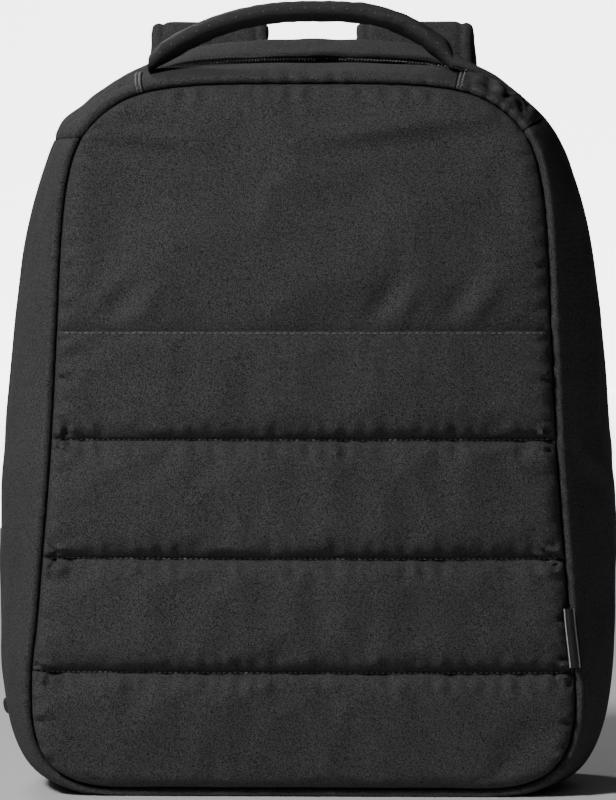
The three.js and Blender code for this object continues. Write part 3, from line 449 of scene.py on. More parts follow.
def woven(name, dark, light, pitch=0.75, rough=0.85, depth=0.0003, fleck=0.5):
    """A twill of melange yarns: flecks along the warp and the weft, and fine diagonal ribs."""
    material, tree, shader = node_tree(name)
    where = object_place(tree)
    weft = noise(tree, where, 2100, 0.5, (0.6, 0.6, 1.5))
    warp = noise(tree, where, 2100, 0.5, (1.5, 1.5, 0.55))
    cloudy = noise(tree, where, 14, 3.0)
    ribs = bands(tree, where, (1, 1, 1), pitch * 1.7)
    cross = bands(tree, where, (1, 1, -1), pitch * 1.7)
    weave = maths(tree, "MULTIPLY", ribs, cross)
    yarn = maths(tree, "ADD", maths(tree, "MULTIPLY", weft, 0.5), maths(tree, "MULTIPLY", warp, 0.5))
    mixed = maths(tree, "MULTIPLY_ADD", weave, 0.045, yarn)
    mixed = maths(tree, "MULTIPLY_ADD", maths(tree, "SUBTRACT", cloudy, 0.5), 0.06, mixed)
    between = tuple((d + l) / 2 for d, l in zip(dark, light))
    colour = ramp(tree, mixed, [(0.5 - fleck * 0.3, dark), (0.5, between), (0.5 + fleck * 0.3, light)])
    tree.links.new(colour, shader.inputs["Base Color"])
    roughness = maths(tree, "MULTIPLY_ADD", yarn, 0.2, rough - 0.1)
    tree.links.new(roughness, shader.inputs["Roughness"])
    shader.inputs["Specular IOR Level"].default_value = 0.12
    height = maths(tree, "ADD", maths(tree, "MULTIPLY", weave, 0.35), yarn)
    bump(tree, shader, height, depth)
    return material


def ribbed(name, dark, light, way, pitch, rough=0.6, depth=0.00025, across=(0, 0, 0)):
    """Webbing or tape: ribs square to way, with the yarn's own flecks."""
    material, tree, shader = node_tree(name)
    where = object_place(tree)
    ribs = bands(tree, where, way, pitch)
    flecks = noise(tree, where, 700, 2.0)
    mixed = maths(tree, "MULTIPLY_ADD", ribs, 0.2, flecks)
    if any(across):
        mixed = maths(tree, "MULTIPLY_ADD", bands(tree, where, across, pitch * 1.6), 0.12, mixed)
    colour = ramp(tree, mixed, [(0.25, dark), (0.8, light)])
    tree.links.new(colour, shader.inputs["Base Color"])
    shader.inputs["Roughness"].default_value = rough
    shader.inputs["Specular IOR Level"].default_value = 0.4
    shader.inputs["Sheen Weight"].default_value = 0.1
    bump(tree, shader, mixed, depth)
    return material


def moulded(name, colour, rough, grain=0.00004):
    material, tree, shader = node_tree(name)
    where = object_place(tree)
    fine = noise(tree, where, 1400, 3.0)
    worn = noise(tree, where, 60, 4.0)
    tint = ramp(tree, worn, [(0.3, tuple(0.8 * c for c in colour)), (0.7, tuple(1.25 * c for c in colour))])
    tree.links.new(tint, shader.inputs["Base Color"])
    tree.links.new(maths(tree, "MULTIPLY_ADD", worn, 0.18, rough - 0.09), shader.inputs["Roughness"])
    bump(tree, shader, fine, grain)
    return material


def grey(value, warm=0.0):
    return (value * (1 + warm), value, value * (1 - warm))


CLOTH_LOOK = woven("melange_cloth", grey(0.012), grey(0.066), fleck=0.36)
HANDLE_LOOK = woven("handle_cloth", grey(0.012), grey(0.05), rough=0.6, fleck=0.7)
BACK_LOOK = woven("back_cloth", grey(0.009), grey(0.03), pitch=1.6, depth=0.0006, fleck=0.8)
WEB_LOOK = ribbed("webbing", grey(0.006), grey(0.026), (0.2, 0.2, 1.0), 1.3, across=(1, 1, 0))
TAPE_LOOK = ribbed("zip_tape_weave", grey(0.005), grey(0.016), (0, 0.9, 0.3), 0.8)
COIL_LOOK = moulded("zip_coil", grey(0.011), 0.4)
PLASTIC_LOOK = moulded("moulded_plastic", grey(0.008), 0.36)
THREAD_LOOK = ribbed("sewing_thread", grey(0.1), grey(0.22), (1, 1, 1), 0.5, rough=0.55, depth=0.00008)
DARK_THREAD = ribbed("dark_thread", grey(0.06), grey(0.14), (1, 1, 1), 0.5, rough=0.6, depth=0.00008)
# Pale stripes for the satin label: painted highlights, not a yarn of the label.
PAINTED_HIGHLIGHT_LOOK = ribbed("painted_highlight_stripe", grey(0.3), grey(0.5), (0, 0, 1), 0.6, rough=0.5, depth=0.00005)
RIBBON_LOOK = ribbed("satin_ribbon", grey(0.002), grey(0.005), (0, 0, 1), 0.6, rough=0.3, depth=0.00005)


def keep(obj, *nodes, slot="melange_cloth", fill=None):
    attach(obj, "root")
    if nodes:
        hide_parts(*nodes)
    return obj


# Gussets.


LAP_HEIGHT, LAP_REACH = 351.0, 1.2


def lap_station(share, out):
    """Station on a side where a place of the flank is at the height of the level lap."""
    s = np.linspace(11, SHOULDER + 1, 400)
    z = outline_point(s, flank_out(s, share) if out is None else out + 0 * s)[1]
    return float(np.interp(LAP_HEIGHT, z, s))


def front_gusset_grid(s, arc=10, flank=20, lap=None):
    """Points of the front gusset at stations s, from the turned-in edge round the roll to the zip. Near the
    station lap, the rows turn level."""
    radius = (ROLL - GAP) / 2
    angles = np.pi * np.arange(arc + 1) / arc
    shares = np.arange(1, flank + 1) / flank
    ahead = np.concatenate([[-TURN_IN, -TURN_IN / 2], radius * np.sin(angles)])
    rolled = np.concatenate([[GAP, GAP], GAP + radius - radius * np.cos(angles)])
    s = np.repeat(s[:, None], len(ahead) + flank, 1)
    if lap is not None:
        cuts = [lap_station(0, q) for q in rolled] + [lap_station(q, None) for q in shares]
        s = s + (SHOULDER - np.array(cuts))[None, :] * np.clip(1 - np.abs(s - lap) / LAP_REACH, 0, 1) ** 1.5
    depth = seam_depth(seam(s)[1])
    end = zip_depth(depth) - half_gap(s)
    out = np.zeros_like(s)
    roll = slice(0, len(ahead))
    side = slice(len(ahead), None)
    out[:, roll] = rolled
    out[:, side] = flank_out(s[:, side], shares) - EDGE_FOLD * np.clip((shares - 0.955) / 0.045, 0, 1) ** 2
    depth[:, roll] -= ahead
    depth[:, side] = lerp(depth[:, side], end[:, side], shares)
    px, pz = outline_point(s, out)
    grid = np.stack([px, depth, np.maximum(pz, 0)], -1)
    first, last = arc - 1, arc + flank // 2
    for _ in range(10):
        beside = grid[:, first - 1:last - 1] + grid[:, first + 1:last + 1]
        grid[:, first:last] = 0.5 * grid[:, first:last] + 0.25 * beside
    return grid


def relief(grid, height, wraps=False, floor=0.0):
    moved = grid + surface_normals(grid, wraps) * height[..., None]
    moved[..., 2] = np.maximum(moved[..., 2], floor)
    return moved


def roll_ripple(seed, run, columns):
    """Small waves that the seam pulls into the rolled edge and the cloth beside it."""
    place = np.arange(columns)
    near = np.exp(-(((place - 7) / 6.0) ** 2))
    return 0.22 * ripple(seed, 9, run)[:, None] * near[None, :]


TUCK, TUCK_DEPTH = 0.07, 1.8

# Lower gusset, with the long soft waves of a filled bag and the slanting fold on its right side. Its right end
# is tucked under the shoulder piece: TUCK stations long, TUCK_DEPTH millimetres deep.
s, run = stations(-SHOULDER + 0.01, SHOULDER + TUCK, 2.6)
grid = front_gusset_grid(s, lap=-SHOULDER)
rows, columns = grid.shape[:2]
flank_share = np.clip((np.arange(columns) - 12) / 20, 0, 1)[None, :]
high = grid[:, :1, 2]
off_floor = np.clip((high - 25) / 50, 0, 1)
soft = 0.9 * ripple(3, 95, run[:, None], flank_share * 60) * np.sin(np.pi * flank_share) ** 1.2
right = (grid[:, :1, 0] > 0).astype(float)
slant = (high - 172 + 26 * (flank_share - 0.5)) / 7.0
soft = soft + right * 1.5 * (bell(slant) - 0.9 * bell(slant + 1.5)) * np.sin(np.pi * flank_share) ** 0.7
soft = soft + 0.35 * ripple(9, 26, run[:, None], flank_share * 60) * np.sin(np.pi * flank_share)
tucked = TUCK_DEPTH * (s > SHOULDER)[:, None]
grid = relief(grid, soft * off_floor + roll_ripple(5, run, columns) * np.clip(high / 20, 0, 1) - tucked)
keep(cloth_shell("lower_gusset_cloth", grid, GUSSET_WALL, CLOTH_LOOK), "lower_gusset", fill=0.3)

# Shoulder pieces, gathered where they are eased round the corners.
HALF_GAP = 0.01
LEFT_CROSS = 2 * TOP - float(top_station((HANDLE["left"] + 1) / HIGH_X))
RIGHT_CROSS = float(top_station((HANDLE["right"] + 1) / HIGH_X))
SHOULDERS = {
    "right": (SHOULDER + HALF_GAP, RIGHT_CROSS - HALF_GAP, 1),
    "left": (LEFT_CROSS + HALF_GAP, 2 * TOP - SHOULDER - HALF_GAP, -1),
}
# Gathers: place along, half width, lift in millimetres, and how far the fold slants over the flank.
GATHERS = {
    "right": [(0.1, 0.07, 2.4, 0.1), (0.22, 0.06, -2.2, 0.1), (0.35, 0.07, 3.0, -0.12), (0.47, 0.05, -2.4, 0.05),
              (0.58, 0.06, 2.6, 0.15), (0.69, 0.05, -2.4, 0.1), (0.8, 0.06, 2.2, -0.1)],
    "left": [(0.12, 0.08, 1.5, 0.1), (0.3, 0.1, -0.9, 0.1), (0.66, 0.12, 0.9, 0.05)],
}
for side, (first, last, way) in SHOULDERS.items():
    s, run = stations(first, last, 0.9)
    along = (s - first) / (last - first)
    along = along if way > 0 else 1 - along
    grid = front_gusset_grid(s, flank=30, lap=2 * TOP - SHOULDER if way < 0 else None)
    columns = grid.shape[1]
    flank_share = np.clip((np.arange(columns) - 12) / 30, 0, 1)[None, :]
    ends = np.minimum(1, 8 * np.minimum(along, 1 - along))[:, None]
    lift = 0
    for place, wide, rise, slant in GATHERS[side]:
        lift = lift + rise * bell((along[:, None] - place - slant * (flank_share - 0.3)) / wide)
    reach = 0.75 if way > 0 else 1.0
    on_flank = np.clip(flank_share / 0.12, 0, 1) * np.clip(1 - flank_share / reach, 0, 1) ** 0.6
    if way > 0:
        ridge = 0.24 + 0.1 * ripple(37, 20, run)[:, None]
        lift = 0.6 * lift + 2.4 * bell((flank_share - ridge) / 0.055) * bell((along[:, None] - 0.42) / 0.3)
    lift = lift * on_flank + 0.5 * ripple(21 + way, 11, run[:, None], flank_share * 55) * on_flank
    lift = lift + 0.35 * ripple(31 + way, 7, run)[:, None] * bell((np.arange(columns) - 7) / 5.0)[None, :]
    lift = lift * ends
    if way < 0:
        from_lap = np.clip((run[-1] - run) / 5, 0, 1)[:, None]
        lift = lift + 2.2 * np.sqrt(1 - (1 - from_lap) ** 2) * np.exp(-(run[-1] - run)[:, None] / 14)
    grid = relief(grid, lift)
    piece = cloth_shell(f"shoulder_gusset_{side}_cloth", grid, GUSSET_WALL, CLOTH_LOOK)
    keep(piece, f"shoulder_gusset_{side}", fill=0.3)
    normals = surface_normals(grid)
    for number, inward in enumerate((1.3, 3.1)):
        row = int(np.argmin(np.abs((run[-1] - run if way > 0 else run) - inward)))
        name = f"cross_stitches_{side}_{number}"
        keep(thread(name, [(grid[row, 4:40], normals[row, 4:40])], THREAD_LOOK, 1.5, 0.25, 0.24, 0.05, 34))

# Top gusset.
s, run = stations(RIGHT_CROSS + HALF_GAP, LEFT_CROSS - HALF_GAP, 1.8)
grid = front_gusset_grid(s)
columns = grid.shape[1]
flank_share = np.clip((np.arange(columns) - 12) / 20, 0, 1)[None, :]
soft = 0.35 * ripple(12, 40, run[:, None], flank_share * 55) * np.sin(np.pi * flank_share)
top_grid = relief(grid, soft + roll_ripple(14, run, columns))
keep(cloth_shell("top_gusset_cloth", top_grid, GUSSET_WALL, CLOTH_LOOK), "top_gusset", fill=0.3)

# Rear gusset, a ring from the zip to the back seam.
s, run = stations(-TOP, TOP, 2.6)
s, run = s[:-1], run[:-1]
x, z = seam(s)
start, end = zip_depth(seam_depth(z)) + half_gap(s), DEPTH / 2 - BACK_ROLL
depths, outs = [], []
for k in range(15):
    share = k / 14
    turn = np.clip((0.05 - share) / 0.05, 0, 1)
    depths.append(lerp(start, end, share))
    outs.append(lerp(rear_start(s), rear_out(s), math.sin(share * math.pi / 2)) - EDGE_FOLD * turn**2)
for k in range(1, 9):
    angle = math.pi / 2 * k / 8
    depths.append(end + BACK_ROLL * math.sin(angle) + 0 * s)
    outs.append(rear_out(s) - BACK_ROLL * (1 - math.cos(angle)))
px, pz = outline_point(s[:, None], np.stack(outs, 1))
grid = np.stack([px, np.stack(depths, 1), np.maximum(pz, 0)], -1)
share = np.clip(np.arange(grid.shape[1]) / 14, 0, 1)[None, :]
off_floor = np.clip((z[:, None] - 25) / 50, 0, 1)
soft = 0.7 * ripple(41, 110, px, pz) * np.sin(np.pi * share) + 0.25 * ripple(43, 24, px, pz, grid[..., 1])
grid = relief(grid, soft * off_floor, wraps=True)
inner = grid - surface_normals(grid, True) * GUSSET_WALL
inner[..., 2] = np.maximum(inner[..., 2], 0.5)
keep(shell("rear_gusset_cloth", grid, inner, CLOTH_LOOK, wraps=True), "rear_gusset", fill=0.3)

# Zip: a tape under both edges, the coil's turns along its middle, and the slider at the left end.


def tape_out(s, offset):
    share = np.clip(0.5 + offset / COIL_WIDTH, 0, 1)
    return lerp(front_out(s), rear_start(s), share) - CLOTH - ZIP_DROP


s, run = stations(ZIP_END, 2 * TOP - ZIP_END, 2.5)
middle = zip_depth(seam_depth(seam(s)[1]))
offsets = np.array([-9.2, -5, -3.2, -2.2, -1.1, 0, 1.1, 2.2, 3.2, 5, 9.2])[None, :]
px, pz = outline_point(s[:, None], tape_out(s[:, None], offsets))
grid = np.stack([px, middle[:, None] + offsets, pz], -1)
tape = keep(cloth_shell("zip_tape_cloth", grid, 0.9, TAPE_LOOK), "zip_tape", slot="zip")

s, run = stations(ZIP_END + 0.05, 2 * TOP - ZIP_END - 0.05, 1.7)
turns = []
for k, angle in enumerate(np.linspace(0, np.pi, 7)):
    offset = -COIL_WIDTH / 2 * math.cos(angle)
    rise = COIL_RISE * math.sin(angle)
    lean = 0.5 * math.cos(angle)
    turns.append((offset, rise, lean))
points, faces = [], []
middle = zip_depth(seam_depth(seam(s)[1]))
step = np.gradient(s) / np.gradient(run)
for dr, dl in ((0.32, 0), (0, 0.34), (-0.32, 0), (0, -0.34)):
    rows = []
    for offset, rise, lean in turns:
        station = s + (lean + dl) * step
        out = tape_out(station, offset) + rise + dr
        px, pz = outline_point(station, out)
        rows.append(np.stack([px, middle + offset * (1 + 0.1 * dr), pz], -1))
    points.append(np.stack(rows, 1))
coil = np.stack(points, 2)
turn_count, ring_count = coil.shape[0], coil.shape[1]
for n in range(turn_count):
    start = n * ring_count * 4
    for i in range(ring_count - 1):
        for j in range(4):
            k = (j + 1) % 4
            ring = start + i * 4
            faces.append([ring + j, ring + k, ring + 4 + k, ring + 4 + j])
    faces.append([start + j for j in (3, 2, 1, 0)])
    faces.append([start + (ring_count - 1) * 4 + j for j in range(4)])
keep(new_object("zip_coil", coil.reshape(-1, 3), faces, COIL_LOOK), slot="zip")


def left_place(along, out_add, across):
    """A point on the left side beside the zip: along it from the slider's foot, out from the coil, across."""
    per = 0.1 / math.dist(seam(SLIDER), seam(SLIDER + 0.1))
    station = SLIDER + along * per
    middle = float(zip_depth(seam_depth(seam(station)[1])))
    x, z = outline_point(station, out_add(station))
    return np.array([-float(x), middle + across, float(z)])


rings = []
for share in np.linspace(0, 1, 15):
    round_share = math.sqrt(max(0.03, 1 - abs(2 * share - 1) ** 2.6))
    ring = []
    for j in range(16):
        angle = 2 * math.pi * j / 16
        c, sn = math.cos(angle), math.sin(angle)
        across = math.copysign(abs(c) ** 0.6, c) * 2.8 * (0.75 + 0.25 * round_share)
        level = (math.copysign(abs(sn) ** 0.6, sn) + 1) / 2

        def out(station, level=level, round_share=round_share):
            low = tape_out(station, 0) + COIL_RISE + SEAT
            return lerp(low, float(front_out(station)) + 3.6 * round_share, level)

        ring.append(left_place(share * 8, out, across))
    rings.append(ring)
keep(loft("zip_slider_body", np.array(rings), PLASTIC_LOOK), "zip_slider", slot="plastic")
PULL_START, PULL_LENGTH = 8.6, 12
rings = []
for share in np.linspace(0, 1, 9):
    width = 2.4 * math.sqrt(max(0.1, 1 - abs(2 * share - 1) ** 5))
    ring = []
    for across, level in ((-1, 0), (-0.6, -0.5), (0.6, -0.5), (1, 0), (0.6, 0.5), (-0.6, 0.5)):
        ring.append(left_place(PULL_START + share * PULL_LENGTH,
                               lambda st, q=level: tape_out(st, 0) + COIL_RISE + 1 + q, across * width))
    rings.append(ring)
keep(loft("zip_slider_pull", np.array(rings), PLASTIC_LOOK), slot="plastic")

# Panels.


def panel_place(across, up, out):
    """Places inside the seam for shares across and up. out gives, for a station, how far outside the front seam
    the edge is."""
    share = np.abs(2 * across - 1)
    beside = station_at_height(row_height(up, LOW_Z, HIGH_Z, FRONT_BASE, FRONT_TOP))
    side = outline_point(beside, out(beside))
    base = outline_point(base_station(share), out(base_station(share)))
    top = outline_point(top_station(share), out(top_station(share)))
    low = outline_point(BASE_CORNER, out(BASE_CORNER))
    high = outline_point(SHOULDER, out(SHOULDER))
    x = lerp(base[0], top[0], up) + share * (side[0] - lerp(low[0], high[0], up))
    floor, roof = (outline_point(s, out(s))[1] for s in (np.array(0.0), np.array(float(TOP))))
    at_side = share * (side[1] - row_height(up, low[1], high[1], floor, roof))
    z = row_height(up, base[1], top[1], floor, roof) + at_side
    return np.sign(2 * across - 1) * x, z, side[0]


def row_height(up, low, high, floor, roof):
    t = np.clip(np.minimum(up, 1 - up) / LEVEL_RUN, 0, 1)
    return lerp(lerp(low, high, up), lerp(floor, roof, up), t * t * (3 - 2 * t))


def edge_share(across, up, half, run):
    a = np.clip(np.minimum(across, 1 - across) * 2 * half / run, 0, 1)
    b = np.clip(np.minimum(up, 1 - up) * FRONT_TOP / run, 0, 1)
    share = np.clip(1 - np.hypot(1 - a, 1 - b), 0, 1)
    return np.sqrt(1 - (1 - share) ** 2)


def groove(up, lines, run):
    distance = np.min([np.abs(up - line) * FRONT_TOP for line in lines], axis=0)
    return 1 - np.sqrt(1 - (1 - np.clip(distance / run, 0, 1)) ** 2)


def dome(across, up):
    return (1 - (2 * across - 1) ** 2) * (1 - (2 * up - 1) ** 4)


def spaced(*places, step=2.4, near=1.1, reach=9.0, scale=FRONT_TOP):
    """Shares through the given places, step millimetres apart, and near apart within reach of them."""
    shares = [places[0]]
    for a, b in zip(places, places[1:]):
        dense = np.linspace(a, b, 2000)
        beside = np.minimum(dense - a, b - dense) * scale < reach
        run = np.concatenate([[0], np.cumsum((dense[1] - a) * scale / np.where(beside, near, step)[1:])])
        count = max(1, round(run[-1]))
        shares += list(np.interp(np.arange(1, count + 1) * run[-1] / count, run, dense))
    return np.array(shares)


U = spaced(0, 1, scale=2 * FRONT_HALF)


def sewn(station):
    return -GAP + 0 * station


def with_lips(x, y, z, sides=True, first=True, last=True, surface=None):
    """Adds turned-in edges to a panel's grid of points."""
    grid = np.stack([x, y, z], -1)
    depth = TURN_IN

    def lip(edge):
        turned = edge.copy()
        turned[..., 1] = surface(turned[..., 2]) + depth
        return turned

    if sides:
        grid = np.concatenate([lip(grid[:, :1]), grid, lip(grid[:, -1:])], 1)
    if first:
        grid = np.concatenate([lip(grid[:1]), grid], 0)
    if last:
        grid = np.concatenate([grid, lip(grid[-1:])], 0)
    return grid


def front_rise(across, up, edge):
    return EDGE_RISE * edge + CROWN * dome(across, up)


# The pocket, its channels a little plumper than their foam.
PLUMP = 1.6
V = spaced(0, *POCKET_LINES, POCKET_TOP)
across, up = np.meshgrid(U, V)
x, z, half = panel_place(across, up, sewn)
edge = edge_share(across, up, half, EDGE_RUN)
lines = groove(up, POCKET_LINES, PUFF_RUN)
hem = np.clip((POCKET_TOP - up) * FRONT_TOP / 5, 0, 1)
to_line = np.min([np.abs(up - line) * FRONT_TOP for line in POCKET_LINES], axis=0)
pinch = 2.2 * bell(to_line / 4.2)
face = front_rise(across, up, edge) + (HEM_PROUD + PLUMP * (1 - lines) - QUILT * lines - pinch) * edge
from_side = np.minimum(across, 1 - across) * 2 * half
pull = 0.8 * ripple(51, 8, z) * bell((from_side - 4) / 4)
pull = pull + 0.6 * ripple(52, 18, z) * bell((from_side - 8) / 7)
pull = pull + 0.7 * ripple(53, 12, x, 0.3 * z) * bell((to_line - 6) / 4)
pull = pull + 0.3 * ripple(54, 34, x, 0.6 * z) * bell((to_line - 12) / 9)
knot = bell((from_side - 7) / 6) * bell((to_line - 3.5) / 3)
pull = pull + knot * (1.6 + 2.0 * ripple(55, 7, x, z))
y = seam_depth(z) - face - pull * np.clip(from_side / 3, 0, 1) * np.clip(to_line / 1.5, 0, 1) * hem
held = (across == 0) | (across == 1) | (up == 0) | (to_line < 0.4) | (up == POCKET_TOP)
grid = settle(np.stack([x, y, z], -1), held, slack=0.004, pressure=2.0)
pocket = grid
grid = with_lips(*np.moveaxis(grid, -1, 0), last=False, surface=seam_depth)
keep(cloth_shell("front_pocket_cloth", grid, PANEL_WALL, CLOTH_LOOK), "front_pocket_panel", fill=0.6)

# The panel above.
V2 = spaced(POCKET_TOP - 16 / FRONT_TOP, 1)
across, up = np.meshgrid(U, V2)
x, z, half = panel_place(across, up, sewn)
edge = edge_share(across, up, half, EDGE_RUN)
above = np.clip((up - POCKET_TOP) * FRONT_TOP / HEM_SINK, 0, 1)
sink = (CLOTH + SEAT + HEM_PAD) * (1 - above) ** 2
# Wrinkles: shares of FRONT_HALF across and of FRONT_TOP up, reach along and across in millimetres, height in
# millimetres, degrees from level.
WRINKLES = [
    (-0.66, 0.928, 34, 4.4, 2.6, -6), (-0.7, 0.945, 30, 4.4, -2.4, -8), (0.34, 0.936, 52, 5.0, 2.2, 7),
    (0.42, 0.918, 50, 8.0, -2.0, 8), (0.77, 0.95, 20, 9.0, -3.0, -42), (-0.68, 0.687, 13, 6.0, -3.0, 48),
    (-0.58, 0.683, 12, 6.0, 1.8, 55), (0.29, 0.69, 14, 6.0, -3.0, 60), (0.38, 0.685, 12, 5.0, 2.0, 66),
    (0.56, 0.688, 14, 6.5, -3.0, 64), (0.65, 0.685, 12, 5.0, 1.8, 60), (0.05, 0.72, 44, 12, 0.7, 4),
    (-0.3, 0.78, 60, 16, 0.6, -8), (0.5, 0.84, 46, 12, 0.6, 12),
]
folds = 0
for wx, wz, long, wide, rise, turn in WRINKLES:
    t = math.radians(turn)
    dx, dz = x - wx * FRONT_HALF, z - wz * FRONT_TOP
    folds = folds + rise * bell((dx * math.cos(t) + dz * math.sin(t)) / long) * bell(
        (dz * math.cos(t) - dx * math.sin(t)) / wide)
from_side = np.minimum(across, 1 - across) * 2 * half
from_top = (1 - up) * FRONT_TOP
pull = 0.9 * ripple(61, 9, z) * bell((from_side - 4) / 4) + 0.5 * ripple(63, 12, x) * bell((from_top - 4) / 5)
pull = pull + 0.4 * ripple(65, 60, x, z)
folded = (folds * np.clip(above * 2, 0, 1) - sink) * edge
y = seam_depth(z) - (front_rise(across, up, edge) + folded + pull * edge)
held = (across == 0) | (across == 1) | (up == 1) | (up < POCKET_TOP)
grid = settle(np.stack([x, y, z], -1), held, slack=0.003, pressure=1.4)
grid = with_lips(*np.moveaxis(grid, -1, 0), first=False, surface=seam_depth)
keep(cloth_shell("front_panel_cloth", grid, PANEL_WALL, CLOTH_LOOK), "front_panel", fill=0.4)

# Sewing on the front: the quilting lines and the hem.


def row_run(grid, row, inset=2):
    normals = surface_normals(grid)
    return grid[row, inset:-inset], normals[row, inset:-inset]


line_rows = [int(np.argmin(np.abs(V - line))) for line in POCKET_LINES]
runs = [row_run(pocket, r, 3) for r in line_rows]
keep(thread("quilt_stitches", runs, THREAD_LOOK, 2.0, 0.9, 0.34, 0.7, 9))
hem_row = int(np.argmin(np.abs(V - (POCKET_TOP - 1.6 / FRONT_TOP))))
keep(thread("hem_stitches", [row_run(pocket, hem_row, 4)], DARK_THREAD, 2.8, 0.9, 0.3, 0.1))

# Padded back.


def back_edge(station):
    return rear_out(station) - BACK_ROLL - 2 * GAP


V3 = spaced(0, *BACK_LINES, 1, step=3.2)
U3 = spaced(0, 1, step=3.2, scale=2 * FRONT_HALF)
across, up = np.meshgrid(U3, V3)
x, z, half = panel_place(across, up, back_edge)
edge = edge_share(across, up, half, EDGE_RUN)
rise = (BACK_PAD - BACK_QUILT * groove(up, BACK_LINES, BACK_RUN)) * edge
rise = rise - 0.6 * edge * np.clip(ripple(71, 55, x, z), -1.4, 1) ** 2 * 0.4
y = DEPTH / 2 + rise
grid = with_lips(x, y, z, surface=lambda q: DEPTH / 2 - 2 * TURN_IN + 0 * q)
back = np.stack([x, y, z], -1)
keep(cloth_shell("back_panel_cloth", grid, 2.0, BACK_LOOK), "back_panel", slot="back_cloth", fill=0.5)
line_rows = [int(np.argmin(np.abs(V3 - line))) for line in BACK_LINES]
keep(thread("back_stitches", [row_run(back, r, 3) for r in line_rows], DARK_THREAD, 2.8, 0.8, 0.34, 0.1),
     slot="back_cloth")

# Carry handle.


def rounded(width, thick, corner, count, flat=0.65):
    angle = 2 * np.pi * (np.arange(count) + 0.5) / count
    c, s_ = np.cos(angle), np.sin(angle)
    return np.sign(c) * np.abs(c) ** corner * width / 2, np.sign(s_) * np.abs(s_) ** flat * thick / 2


def top_height(x, share):
    s = np.linspace(SHOULDER, TOP, 800)
    px, pz = outline_point(s, flank_out(s, share))
    return float(np.interp(-x, -px, pz))


depth0 = float(seam_depth(FRONT_TOP))
run_y = float(zip_depth(depth0)) - depth0
handle_y = depth0 + HANDLE["share"] * run_y
crest = FRONT_TOP + HANDLE["rise"] - HANDLE["thick"] / 2
half_share = HANDLE["width"] / 2 / run_y
rings, spine = [], []
COUNT = 97
for k in range(COUNT):
    t = -math.cos(math.pi * k / (COUNT - 1))
    end = HANDLE["left"] if t < 0 else HANDLE["right"]
    front, rear = (top_height(end, HANDLE["share"] + q * half_share) for q in (-1, 1))
    foot = top_height(end, HANDLE["share"]) + SEAT + HANDLE["end"] / 2
    inward = min(1, (1 - abs(t)) / 0.1)
    spine.append((t * end + HANDLE["crest"] * (1 - t * t), lerp(crest, foot, abs(t) ** ARCH_CURVE),
                  lerp(HANDLE["end"], HANDLE["thick"], inward),
                  math.atan2(rear - front, HANDLE["width"]) * (1 - inward), inward))
spine = np.array(spine)
slopes = np.arctan2(np.gradient(spine[:, 1]), np.gradient(spine[:, 0])) * spine[:, 4]
SECTION = 40
for (px, pz, thick, tilt, inward), slope in zip(spine, slopes):
    a, u = rounded(HANDLE["width"], thick, 0.6, SECTION)
    a = a * (1 - 0.4 * np.clip(-2 * u / thick, 0, 1) ** 1.4 * inward)
    lift = u * math.cos(tilt) + a * math.sin(tilt)
    depth = handle_y + a * math.cos(tilt) - u * math.sin(tilt)
    rings.append(np.stack([px - lift * math.sin(slope), depth, pz + lift * math.cos(slope)], -1))
rings = np.array(rings)
middle = rings.mean(1, keepdims=True)
away = unit(rings - middle)
around = np.arange(SECTION)[None, :] * 1.0
span = spine[:, 0][:, None]
crease = 0.28 * ripple(81, 9, span, around * 0.8) * (0.5 + 0.5 * np.tanh((span - 20) / 30))
crease = crease + 0.12 * ripple(83, 6, span, around)
calm = np.minimum(1, (1 - np.abs(np.linspace(-1, 1, COUNT))) * 12)[:, None]
rings = rings + away * ((crease - 0.25) * calm)[..., None]
keep(loft("carry_handle_cloth", rings, HANDLE_LOOK), "carry_handle", fill=0.8)
front_line = int(np.argmin(rings[COUNT // 2, :, 1] + 0.15 * np.abs(rings[COUNT // 2, :, 2] - crest + 2)))
runs = [(rings[5:-5, front_line], away[5:-5, front_line])]
keep(thread("handle_stitches", runs, DARK_THREAD, 1.0, 6.6, 0.26, 0.05))

# Shoulder straps, with a bound edge, and what hangs on them.
bag_top = float(outline_point(np.array([float(TOP)]), rear_out(np.array([float(TOP)])))[1][0])
back_face = DEPTH / 2 + BACK_PAD


def strap_value(place, key):
    last = len(STRAP_ROWS) - 1
    i = np.minimum(np.floor(place).astype(int), last - 1)
    a, b, c, d = (STRAP_ROWS[np.clip(i + k, 0, last), key] for k in (-1, 0, 1, 2))
    return curve(a, b, c, d, place - i)


def path_frames(at, side):
    along = unit(np.gradient(at, axis=0))
    face = unit(np.cross(along, side))
    return along, face, np.cross(face, along)


place = np.linspace(0, len(STRAP_ROWS) - 1, 150)
thick = strap_value(place, 4) * STRAP["thick"]
off = np.maximum(strap_value(place, 1) * STRAP["off"], SEAT + thick / 2)
strap_at = np.stack([strap_value(place, 2) * STRAP["apart"], back_face + off,
                     bag_top + strap_value(place, 0) * STRAP["reach"]], -1)
strap_width = strap_value(place, 3) * STRAP["width"]
along, face, across_way = path_frames(strap_at, np.array([1.0, 0, 0]))
rings, edges = [], {-1: [], 1: []}
SECTION = 64
for i in range(len(place)):
    a, u = rounded(strap_width[i], thick[i], 0.35, SECTION)
    pad = 1 - 0.28 * bell((np.abs(a) - strap_width[i] / 2 + 6.5) / 1.6)
    u = u * pad
    rings.append(strap_at[i] + across_way[i] * a[:, None] + face[i] * u[:, None])
    for q in (-1, 1):
        aside = across_way[i] * q * (strap_width[i] / 2 - 6.5)
        edges[q].append(strap_at[i] + aside + face[i] * thick[i] * 0.34)
rings = np.array(rings)
length_along = np.linspace(0, 330, len(place))[:, None]
wave = 0.35 * ripple(91, 30, length_along, np.arange(SECTION)[None, :] * 1.3)
rings = rings + unit(rings - rings.mean(1, keepdims=True)) * (wave - 0.3)[..., None]
end = len(place) - 1
end_u, end_w = along[end], across_way[end]
end_v = face[end] if face[end][1] > 0 else -face[end]
origin = strap_at[end]


def below(u, v):
    return origin + end_u * u + end_v * v


